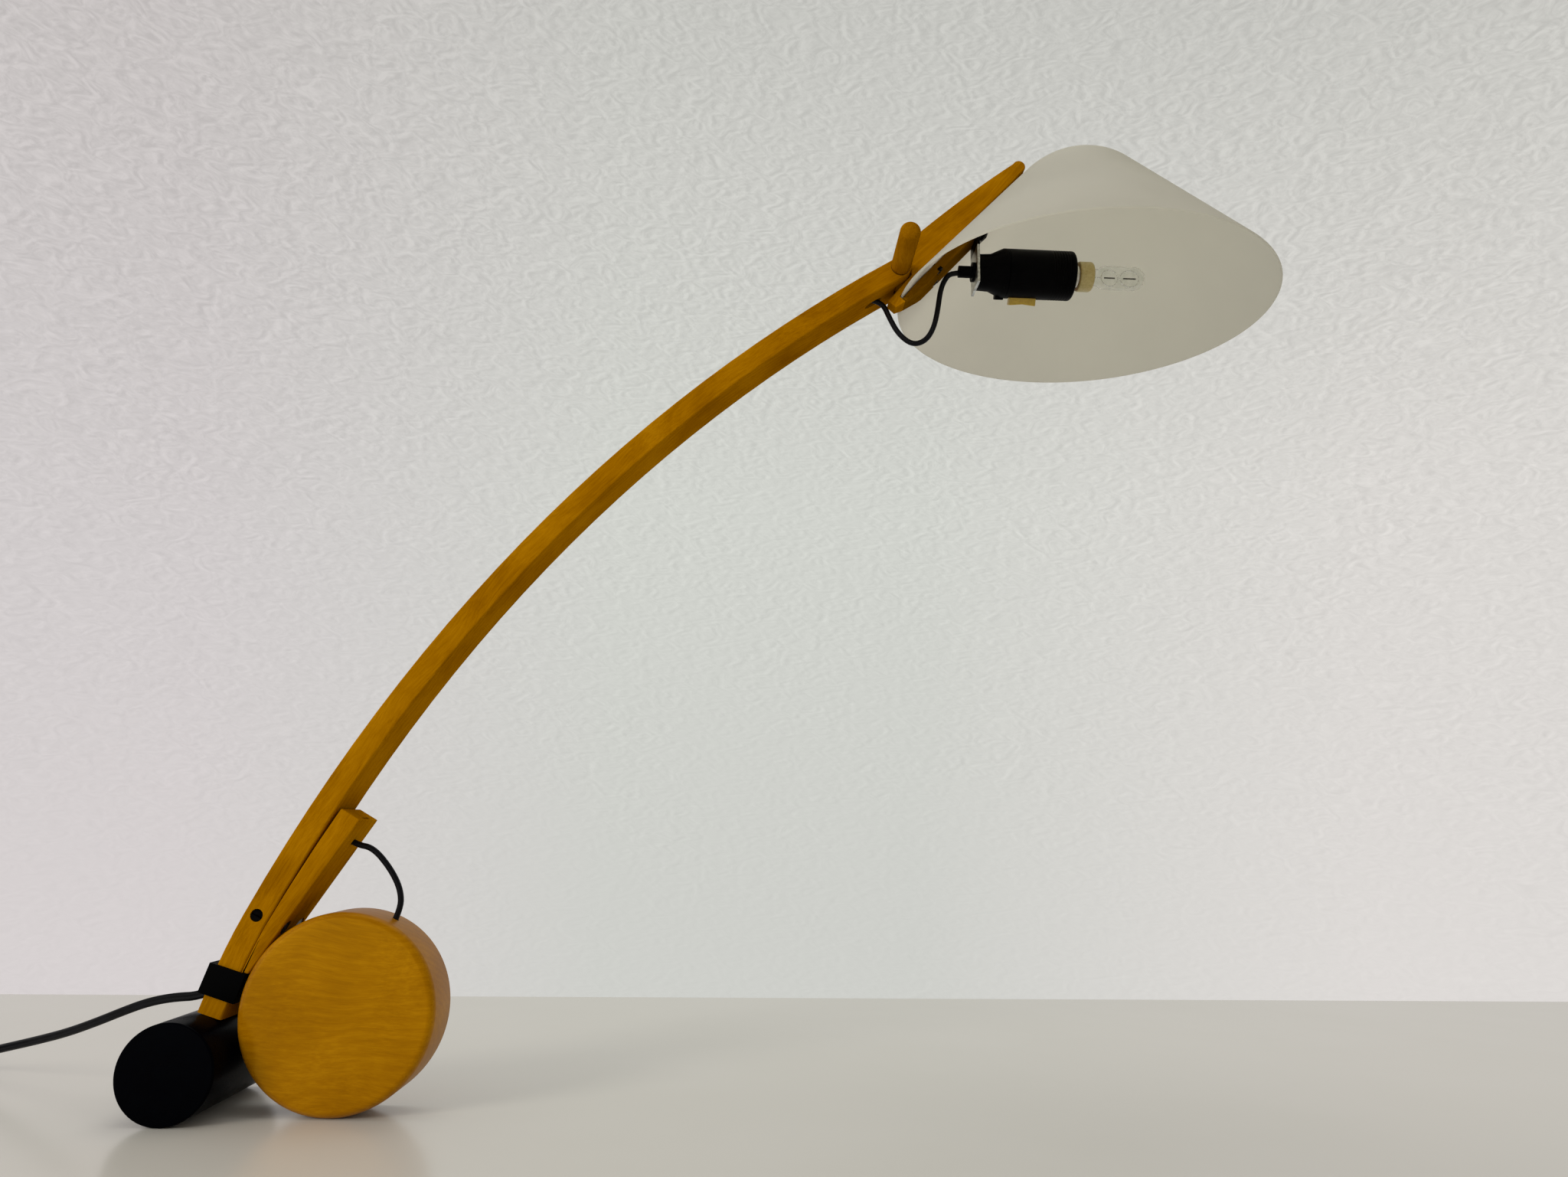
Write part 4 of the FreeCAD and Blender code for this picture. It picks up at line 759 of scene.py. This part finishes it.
PLUG_PLACE = frame_of(mm(-298, -14, 0), -ALONG_Y, ALONG_Z)
PLUG_MIDDLE = 7  # height of the plug's middle above the table
PLUG_FACE = 36  # from the plug's tail to the face that holds the pins
PIN_HALF = 9.5  # half the distance between the pins
SLEEVES_END = -59.5  # Y at which the insulating sleeves of the pins end


def plug_grip():
    """Flat moulded plug: waisted body with finger ribs and a stepped face for the pins."""

    def widen(x, across, high):
        bpy.ops.transform.resize(value=(1, across, high), center_override=mm(x, 0, PLUG_MIDDLE))

    body = block("plug_grip", (0, -14, 0.6), (PLUG_FACE, 14, 13.4))
    pick(body, "faces", lambda f: f.normal.x > 0.9)
    widen(PLUG_FACE, 1.25, 1.06)
    pick(body, "faces", lambda f: True)
    bpy.ops.mesh.subdivide(number_cuts=11)
    pick(body, "verts", lambda v: v.co.x < 0.5 * MM)
    widen(0, 0.42, 0.8)
    pick(body, "verts", lambda v: 0.5 * MM < v.co.x < 5.5 * MM)
    widen(3, 0.74, 0.92)
    closed_up(body)
    finished_with(body, "SUBSURF", levels=2, render_levels=2)
    ribs = []
    for i in range(6):
        x = 6 + 3 * i
        rib = closed_up(block(f"rib_{i}", (x, -9 - i * 0.4, 0.5), (x + 1.2, 9 + i * 0.4, 13.5)))
        ribs.append(eased(rib, 0.4))
    return set_in_place(joined("plug_grip", [body, *ribs]), PLUG_PLACE)


def plug():
    """Grip, two pins that wear insulating sleeves on their inner halves, and the bend relief behind."""
    grip = dress(smooth(plug_grip(), 40), "moulded", "black_rubber", "stand", "plug_body")
    shank = [(0, -6), (2, -6), (2, 9.4), (1.86, 9.5), (1.86, 16.6)]
    pin = turned("contact_pin", [*shank, *arc_rings(0.9, 17.9, 0.96, 0, 90, 4), (0, 19)], sides=32)
    feet = [mm(PLUG_FACE, y, PLUG_MIDDLE) for y in (-PIN_HALF, PIN_HALF)]
    places = [PLUG_PLACE @ frame_of(foot, ALONG_Z, ALONG_X) for foot in feet]
    pins = smooth(joined("contact_pins", copies(pin, places)), 40)
    dress(pins, "bright", "plated_pin", "stand", "plug_pins")
    pins.data.materials.append(MATERIALS["moulded"])
    for face in pins.data.polygons:
        if face.center.y > SLEEVES_END * MM:
            face.material_index = 1
    sleeve = cord_curve("plug_relief", [PLUG_INSIDE, PLUG_BACK, *reversed(PLUG_RUN[-2:])], 3.9)
    for point, share in zip(sleeve.data.splines[0].points, (1.0, 1.0, 0.86, 0.7)):
        point.radius = share
    as_mesh(sleeve)
    dress(sleeve, "moulded", "black_rubber", "stand")


plug()


# ---------------- screws and nuts


def driver_screw(name, head, height, shank, length, recess):
    """Pan-head screw along local Z, its head above 0, with a cross recess or a plain slot."""
    thread = [(0, -length), (shank * 0.8, -length), (shank, -length + shank), (shank, 0)]
    pan = [(head, 0), (head, height * 0.35), (head * 0.86, height * 0.8), (head * 0.5, height)]
    screw = turned(name, [*thread, *pan, (0, height * 1.02)], sides=40)
    width, depth, reach = head * 0.22, height * 0.6, head * (0.62 if recess == "cross" else 1.2)
    bars = [closed_up(block("bar", (-reach, -width, height - depth), (reach, width, height * 2)))]
    if recess == "cross":
        bars.append(closed_up(block("bar", (-width, -reach, height - depth), (width, reach, height * 2))))
    return smooth(eased(cut_by(screw, *bars), min(0.12, height * 0.08), segments=2), 40)


def fasteners():
    """The clamp's two screws, the bracket's, the band's and the back disc's three."""
    inward = -OUT_OF_SLOPE
    screw = driver_screw("clamp_pan_screw", 2.9, 1.8, 1.5, 14, "cross")
    spots = [on_slope(CLAMP_CLIMB, -5.3, y) for y in (-CLAMP_SPREAD, CLAMP_SPREAD)]
    clamps = joined("clamp_pan_screws", copies(screw, [frame_of(spot, UP_SLOPE, inward) for spot in spots]))
    dress(clamps, "blackened", "dark_steel", "head", "clamp_screws")

    screw = driver_screw("bracket_pan_screw", 3.2, 2, 1.5, 5, "cross")
    set_in_place(screw, frame_of(on_slope(70, -8.7), UP_SLOPE, inward))
    dress(screw, "blackened", "dark_steel", "head", "bracket_screw")

    screw = driver_screw("band_pan_screw", 2.4, 2.2, 1.2, 3, "slot")
    set_in_place(screw, frame_of(from_foot(21.5, 9.6), heading(FOOT_ANGLE), heading(FOOT_ANGLE + 90)))
    dress(screw, "blackened", "dark_steel", "stand", "band_screw")

    screw = driver_screw("back_disc_screw", 2.4, 0.9, 1.25, 11, "cross")
    places = [frame_of(around_wheel(90 + 120 * i, 43, 13.05), ALONG_X, ALONG_Y) for i in range(3)]
    backs = joined("back_disc_screws", copies(screw, places))
    dress(backs, "bright", "steel", "wheel", "wheel_screws")


def barrel_nuts():
    """Blackened cross nuts in the arm's sides, each with a driver slot, and a thread across its middle."""
    nut = turned("barrel_nut", [(0, -9), (3.25, -9), (3.25, -0.35), (2.95, -0.05), (0, -0.05)], sides=48)
    slot = closed_up(block("slot", (-4, -0.45, -1.3), (4, 0.45, 1)))
    thread = set_in_place(rod("thread", 2.05, -5, 5), frame_of(mm(0, 0, -6), ALONG_Y, ALONG_X))
    smooth(cut_by(nut, slot, thread))
    across = -heading(NUT_ANGLE + 90)
    centre = MAIN_CENTRE - across * MAIN_RADIUS
    places = [frame_of(centre + ALONG_Y * side * WOOD_HALF * MM, across, ALONG_Y * side) for side in (-1, 1)]
    nuts = joined("barrel_nuts", copies(nut, places))
    dress(nuts, "blackened", "dark_steel", "stand", "cross_nuts")


fasteners()
barrel_nuts()


# ---------------- counterweight, arm, track and band


def weight_bar():
    """Bar stock, faced and rounded at its ends, with the stud's hole in its side."""
    bar = turned(
        "weight_bar",
        [(0, -48), *arc_rings(22.8, -46.8, 1.2, -90, 0, 5), *arc_rings(22.8, 37.8, 1.2, 0, 90, 5), (0, 39)],
        sides=144,
    )
    set_in_place(bar, frame_of(WEIGHT_AXIS, ALONG_X, -ALONG_Y))
    way = set_in_place(rod("stud_way", 3.05, -14.2, 2), frame_of(FOOT, ALONG_Y, heading(FOOT_ANGLE)))
    dress(smooth(cut_by(bar, way)), "enamel", "black_lacquer", "stand", "counterweight")


def bent_bar():
    """The arm, with the long mouth that lets the lead out under its end."""
    bar = copy_of_node("bent_bar", "arm", 0.5, lambda edge: False)
    mouth = turned("lead_mouth", [(0, -6), (2.9, -6), (3.2, 3), (0, 3)], sides=40)
    only(mouth)
    mouth.scale = (1.9, 1, 1)
    bpy.ops.object.transform_apply()
    set_in_place(mouth, frame_of(mm(274, 0, 466.3), heading(33), heading(-57)))
    dress(smooth(cut_by(bar, mouth)), "bar", "amber_beech", "stand", "arm")


weight_bar()
bent_bar()
dressed_copy("wheel_track", "track", 0.9, beside(WOOD_HALF), "track", "amber_beech", "stand")
dressed_copy("band_sleeve", "arm_band", 0.9, longer_than(9), "band", "black_rubber", "stand")


# ---------------- wheel and handle


def wheel_drum():
    """Turned wooden drum, open at the back, its face a little crowned and its edges rounded over,
    with the tether's hole in its rim."""
    inside = [(0, 14), (40, 14), (40, -8.95), (46.05, -8.95), (46.05, -14)]
    rim = [*arc_rings(48.4, -12.4, 1.6, -90, 0, 5), *arc_rings(45.8, 14.7, 4.2, 0, 87, 10)]
    face = [(40, 19.17), (32, 19.47), (24, 19.7), (16, 19.87), (8, 19.97), (0, 20)]
    drum = turned("wheel_drum", inside + rim + face, sides=192)
    set_in_place(drum, frame_of(WHEEL_AXIS, ALONG_X, -ALONG_Y))
    hole = set_in_place(rod("tether_way", 1.65, 25, 52), frame_of(WHEEL_AXIS, ALONG_Y, heading(65.7)))
    pocket = closed_up(block("magnet_pocket", (32.05, -10.05, -5.05), (44.05, 10.05, 5.05)))
    set_in_place(pocket, frame_of(WHEEL_AXIS, heading(CONTACT_ANGLE), -ALONG_Y))
    dress(smooth(cut_by(drum, hole, pocket)), "wheel", "amber_beech", "wheel", "wheel_shell")


def handle_dowel():
    """Turned dowel with a domed free end, bored for its threaded insert."""
    bore = [(0, 14.1), (4.05, 14.1), (4.05, 0)]
    outside = [*arc_rings(5.2, 0.8, 0.8, -90, 0, 4), *arc_rings(2.0, 38.0, 4.0, 0, 84, 9), (0, 42)]
    dowel = turned("handle_dowel", bore + outside, sides=72)
    set_in_place(dowel, frame_of(PIVOT - ALONG_Y * 15.4 * MM, ALONG_X, -ALONG_Y))
    dress(smooth(dowel), "dowel", "amber_beech", "handle", "handle")


wheel_drum()
handle_dowel()


# ---------------- head


def cone_shade():
    """Thermoformed cone: one even wall, a domed crown and a flame-polished rim, on two screws."""
    slope = math.radians(SHADE_SLOPE)
    rim, wall, crown = 114, 1.2, 50
    centre = rim * math.tan(slope) - crown / math.cos(slope)
    up, out = (-math.cos(slope), math.sin(slope)), (math.sin(slope), math.cos(slope))

    def on_wall(climb, depth):
        return (rim + up[0] * climb - out[0] * depth, up[1] * climb - out[1] * depth)

    outer = arc_rings(0, centre, crown, 90 - SHADE_SLOPE, 89, 20)
    inner = arc_rings(0, centre, crown - wall, 89, 90 - SHADE_SLOPE, 20)
    # from the crown's inside down to the rim, round it, and up the outside, (climb, share of the wall)
    edge = (60, 1), (0.5, 1), (0.12, 0.85), (0, 0.5), (0.12, 0.15), (0.5, 0), (60, 0)
    rings = [*inner, *(on_wall(climb, wall * share) for climb, share in edge), *outer]
    cone = turned("cone_shade", [(0, centre + crown - wall), *rings, (0, centre + crown)], sides=192)
    set_in_place(cone, Matrix.Translation(SHADE_AXIS))
    ways = []
    for y in (-CLAMP_SPREAD, CLAMP_SPREAD):
        place = frame_of(on_slope(CLAMP_CLIMB, -wall / 2, y), ALONG_Y, OUT_OF_SLOPE)
        ways.append(set_in_place(rod("screw_way", 1.6, -3, 3, sides=24), place))
    dress(smooth(cut_by(cone, *ways)), "acrylic", "frosted_acrylic", "head", "shade")


def bracket_strap():
    """Bent steel strap: its lower plate is left zinc grey, and its tab under the leaf is blackened."""
    bend_height = 503.8 * MM
    strap = dressed_copy("bracket_strap", "lamp_bracket", 0.4, longer_than(5), "zinc", "dark_steel", "head")
    strap.data.materials.append(MATERIALS["blackened"])
    only(strap)
    bpy.ops.object.mode_set(mode="EDIT")
    bpy.ops.mesh.select_all(action="SELECT")
    bpy.ops.mesh.bisect(plane_co=(0, 0, bend_height), plane_no=ALONG_Z)
    bpy.ops.object.mode_set(mode="OBJECT")
    for face in strap.data.polygons:
        if face.center.z > bend_height:
            face.material_index = 1


def lampholder():
    """Two-part moulded lampholder: conical neck with its catch, and a ribbed barrel. The lamp's ceramic
    bush stands in its mouth, and the switch's rocker in its window."""
    outer, bore, mouth = 15, 13.2, 9.7
    outside = [(5, 1.8), (5, 0), (10.5, 0), (11, 0.5), (11.4, 7.6), (11.7, 8.4), (14.6, 14.7), (outer, 15.6)]
    inside = [(outer, 17.8), (14.8, 18), (bore, 18), (bore, 17.2), (mouth, 9.4), (mouth, 1.8), (5, 1.8)]
    neck = turned("holder_neck", outside + inside, sides=96)
    catch = eased(closed_up(block("catch", (12.6, -2.6, 12.2), (15.9, 2.6, 17.6))), 0.5)
    neck = set_in_place(joined("holder_neck", [smooth(neck, 40), catch]), in_holder(0))
    dress(neck, "moulded", "black_plastic", "head", "holder_cap")

    ribs = []
    for i in range(7):
        foot = 27 + 1.7 * i
        ribs += [(outer, foot), (14.78, foot + 0.25), (14.78, foot + 0.75), (outer, foot + 1)]
    outside = [(14.7, 0), (outer, 0.3), *ribs, *arc_rings(bore, 39.7, 1.8, 0, 90, 6)]
    inside = [(9.95, 41.5), (mouth, 41.25), (mouth, 39.9), (bore, 39.9), (bore, 0)]
    barrel = turned("holder_sleeve", [(bore, 0), *outside, *inside], sides=96)
    window = closed_up(block("window", (11, -4.5, 2.2), (18, 4.5, 21)))
    cut_by(barrel, window)
    set_in_place(smooth(barrel, 40), in_holder(18.1))
    dress(barrel, "moulded", "black_plastic", "head", "holder_barrel")

    rings = [(8.6, 40.4), (12.8, 40.4), (12.8, 56.8), (12.4, 57.4), (9.2, 57.4), (8.6, 57), (8.6, 40.4)]
    bush = set_in_place(smooth(turned("lamp_bush", rings), 40), in_holder(0))
    dress(bush, "steatite", "cream_ceramic", "head", "holder_insert")

    dressed_copy("rocker_key", "switch_rocker", 0.5, longer_than(2.5), "rocker", "cream_plastic", "rocker")


def lamp():
    """Small screw-cap lamp: rolled thread, ceramic collar, clear capsule, two wire loops with their coils."""
    tip = [(0, 43.85), (1.9, 43.85), (2.7, 44.3), (2.8, 45), (6.1, 45.05)]
    thread = [(7 if i % 2 else 6.45, 46 + 0.705 * i) for i in range(23)]
    cap = turned("lamp_thread", [*tip, *thread, (6.7, 62.6), (6.95, 65.9), (0, 65.95)], sides=72)
    set_in_place(smooth(cap, 50), in_holder(LAMP_SEAT))
    dress(cap, "nickel", "brass", "head", "bulb_cap")

    rims = [*arc_rings(8.15, 67, 1.0, -80, 0, 4), *arc_rings(7.15, 73.4, 2.0, 0, 84, 6)]
    collar = turned("lamp_collar", [(0, 66), (7.8, 66), *rims, (0, 75.4)], sides=72)
    set_in_place(smooth(collar, 50), in_holder(LAMP_SEAT))
    dress(collar, "steatite", "cream_ceramic", "head", "bulb_collar")

    dome = 101.2
    outside = [(5, 75.4), (5, 77.8), (5.6, 79.4), (6.8, 81), (7.3, 82.8), (7.3, dome)]
    outside += [*arc_rings(0, dome, 7.3, 6, 84, 12), (0.5, 108.8), (0, 109)]
    inside = [(0, 108), *arc_rings(0, dome, 6.8, 84, 6, 12)]
    inside += [(6.8, dome), (6.8, 83), (6.3, 81.4), (5.1, 79.8), (4.5, 78), (4.5, 75.4)]
    glass = turned("lamp_capsule", inside + outside, sides=72)
    set_in_place(smooth(glass, 60), in_holder(LAMP_SEAT))
    dress(glass, "quartz", "clear_glass", "head", "bulb_capsule")

    # the loops and stems wear the near-white wire material: painted highlight
    wires = []
    loop_radius = 5.6
    for middle, half_length in ((86.6, 5.1), (99.2, 6.0)):
        bpy.ops.mesh.primitive_torus_add(
            major_segments=64, minor_segments=12, major_radius=loop_radius * MM, minor_radius=0.36 * MM
        )
        loop = started("loop")
        bpy.ops.mesh.select_all(action="SELECT")
        bpy.ops.transform.resize(value=(half_length / loop_radius, 1, 1))
        bpy.ops.object.mode_set(mode="OBJECT")
        loop.data.materials.append(MATERIALS["bright_wire_painted_highlight"])
        lying = frame_of(PLATE_FACE + ALONG_X * (LAMP_SEAT + middle) * MM, ALONG_X, -ALONG_Y)
        wires.append(smooth(set_in_place(loop, lying)))
        ridges = [(0.5 if i % 2 else 0.36, -half_length * 0.66 + i * half_length * 0.0528) for i in range(26)]
        coil = turned("coil", [(0, ridges[0][1]), *ridges, (0, ridges[-1][1])], sides=16)
        coil.data.materials.append(MATERIALS["filament"])
        wires.append(smooth(set_in_place(coil, in_holder(LAMP_SEAT + middle))))
    for start, end in ((75.4, 81.5), (91.7, 93.2)):
        stem = rod("stem", 0.33, start, end, sides=12)
        stem.data.materials.append(MATERIALS["bright_wire_painted_highlight"])
        wires.append(smooth(set_in_place(stem, in_holder(LAMP_SEAT))))
    fitted(joined("filament_loops", wires), "steel", "head", "bulb_filament")


dressed_copy("clamp_finger", "head_finger", 2.2, beside(CLAMP_HALF), "finger", "amber_beech", "head")
dressed_copy("clamp_leaf", "head_leaf", 0.9, beside(CLAMP_HALF), "leaf", "amber_beech", "head")
cone_shade()
bracket_strap()
lampholder()
lamp()


# ---------------- stage, light and camera

IMAGE_WIDTH, IMAGE_HEIGHT = 2048, 1537
FOCAL_PIXELS = 1404.09
CAMERA_PLACE = mm(205.5, -608.9, 151.1)
TABLE_TURN = math.radians(6.2)
TABLE_WIDTH, TABLE_DEPTH = 9, 4.4
BACK_EDGE = mm(27.7, 377, -0.1)  # a point on the table's far edge; the top lies a hair under the lamp


def viewing_camera():
    yaw, pitch, roll = 0.0303, 0.2152, 0.0269
    forward = Vector((math.sin(yaw) * math.cos(pitch), math.cos(yaw) * math.cos(pitch), math.sin(pitch)))
    level = Vector((math.cos(yaw), -math.sin(yaw), 0))
    upright = level.cross(forward)
    right = level * math.cos(roll) + upright * math.sin(roll)
    up = upright * math.cos(roll) - level * math.sin(roll)
    data = bpy.data.cameras.new("viewing_camera")
    data.sensor_fit = "HORIZONTAL"
    data.sensor_width = 36
    data.sensor_height = data.sensor_width * IMAGE_HEIGHT / IMAGE_WIDTH
    data.lens = FOCAL_PIXELS * data.sensor_width / IMAGE_WIDTH
    data.clip_start = 0.02
    data.clip_end = 40
    camera = in_scene("viewing_camera", data)
    turned_axes = Matrix((right, up, -forward)).transposed().to_4x4()
    camera.matrix_world = Matrix.Translation(CAMERA_PLACE) @ turned_axes
    bpy.context.scene.camera = camera


def table_top():
    """Pale lacquered table: soft mirror of what stands on it."""
    clear_selection()
    bpy.ops.mesh.primitive_plane_add(size=1, location=(0, 0, 0))
    table = started("table_top")
    bpy.ops.object.mode_set(mode="OBJECT")
    table.scale = (TABLE_WIDTH, TABLE_DEPTH, 1)
    table.rotation_euler = (0, 0, TABLE_TURN)
    away = Vector((-math.sin(TABLE_TURN), math.cos(TABLE_TURN), 0))
    table.location = BACK_EDGE - away * TABLE_DEPTH / 2
    bpy.ops.object.transform_apply()
    stops = (0.3, "#CECAC0"), (0.7, "#D1CDC4")
    table.data.materials.append(patterned("lacquered_table", (160, 3.0), stops, (0.2, 0.23), IOR=1.45))


def room_light():
    """Even room light. Only straight views, gloss and glass see the wall and the window, and in gloss the
    side behind the camera stays dim."""
    world = bpy.data.worlds.new("room")
    bpy.context.scene.world = world
    world.use_nodes = True
    tree = world.node_tree
    tree.nodes.clear()
    path = add(tree, "LightPath").outputs
    way = add(tree, "TexCoord").outputs["Generated"]
    parts = add(tree, "SeparateXYZ", {"Vector": way}).outputs
    # rough-cast wall: trowelled ridges about 10 mm long at two metres, lit from one side
    swept = made_by(tree, "Mapping", {"Vector": way, "Rotation": (0.0, 0.6, 0.0), "Scale": (1.0, 1.0, 1.9)})
    aside = vector_sums(tree, "ADD", swept, (0.0025, 0, -0.0035))
    cast = {"Scale": 62.0, "Detail": 4.0, "Roughness": 0.6, "Distortion": 1.8}
    ridges, behind = (made_by(tree, "TexNoise", {"Vector": place, **cast}) for place in (swept, aside))
    # the trowel left the ridges higher in some places, the more so towards the top
    patches = made_by(tree, "TexNoise", {"Vector": way, "Scale": 7.0, "Detail": 2.0})
    height = sums(tree, "MULTIPLY_ADD", patches, 0.35, parts["Z"])
    amount = spread(tree, height, 0.2, 1.0, 0.1, 0.65)
    lit = sums(tree, "MULTIPLY", sums(tree, "SUBTRACT", ridges, behind), amount)
    relieved = spread(tree, lit, 0.91, 1.09, -0.2, 0.2)
    # the wall's colour with painted light and shade, from the table's height upwards: darker towards the top
    # and lightest low on the right, in its left, middle and right thirds
    painted_shade_upwards = spread(tree, parts["Z"], start=-0.1, end=0.75)
    leftward = spread(tree, parts["X"], start=-0.45, end=-0.12)
    rightward = spread(tree, parts["X"], start=0.15, end=0.5)
    left_wall = ramp(tree, painted_shade_upwards, (0.0, "#D7D1D1"), (0.35, "#D1CCCC"), (1.0, "#C1BCBA"))
    mid_wall = ramp(tree, painted_shade_upwards, (0.0, "#CECFCA"), (0.45, "#D1D3CD"), (0.75, "#CBCBC6"), (1.0, "#C0C0BB"))
    right_wall = ramp(tree, painted_shade_upwards, (0.0, "#DEDAD7"), (0.45, "#DAD7D3"), (0.75, "#CBCAC5"), (1.0, "#B8B8B3"))
    wall = mixed(tree, rightward, mixed(tree, leftward, left_wall, mid_wall), right_wall)
    wall = made_by(tree, "VectorMath", {0: wall, "Scale": relieved}, operation="SCALE")
    side = spread(tree, parts["Y"], start=-0.5, end=0.25)
    mirrored = mixed(tree, side, colour("#7E7C78"), wall)
    # the window that gloss shows: a wide, soft, bright patch to the left of the camera's side
    facing = vector_sums(tree, "DOT_PRODUCT", way, (-0.5, -0.85, 0.16))
    window = sums(tree, "MULTIPLY", spread(tree, facing, start=0.82, end=0.95), path["Is Glossy Ray"])
    seen = mixed(tree, path["Is Glossy Ray"], wall, mirrored)
    seen = mixed(tree, window, seen, (1.5, 1.47, 1.4, 1))
    shown = sums(tree, "MAXIMUM", path["Is Camera Ray"], path["Is Glossy Ray"])
    shown = sums(tree, "MAXIMUM", shown, path["Is Transmission Ray"])
    light = made_by(tree, "Background", {"Color": colour("#F4F3F0"), "Strength": 0.56})
    scenery = made_by(tree, "Background", {"Color": seen, "Strength": 1.0})
    both = made_by(tree, "MixShader", {0: shown, 1: light, 2: scenery})
    add(tree, "OutputWorld", {"Surface": both}, is_active_output=True)


def softbox(name, place, target, size, power, tint, mirrored=True):
    data = bpy.data.lights.new(name, "AREA")
    data.shape = "RECTANGLE"
    data.size, data.size_y = size
    data.energy = power
    data.color = colour(tint)[:3]
    lamp = in_scene(name, data)
    lamp.location = place
    lamp.rotation_euler = (Vector(target) - Vector(place)).to_track_quat("-Z", "Y").to_euler()
    lamp.visible_camera = False
    lamp.visible_glossy = mirrored


viewing_camera()
table_top()
room_light()
softbox("window", (-2.2, -2.3, 1.3), (0.1, 0, 0.2), (1.1, 1.1), 46, "#FFFCF5", mirrored=False)
softbox("ceiling", (0.2, 0.3, 2.2), (0.15, 0, 0.2), (1.4, 1.4), 10, "#FFFFFF")
bpy.context.scene.view_settings.view_transform = "Standard"
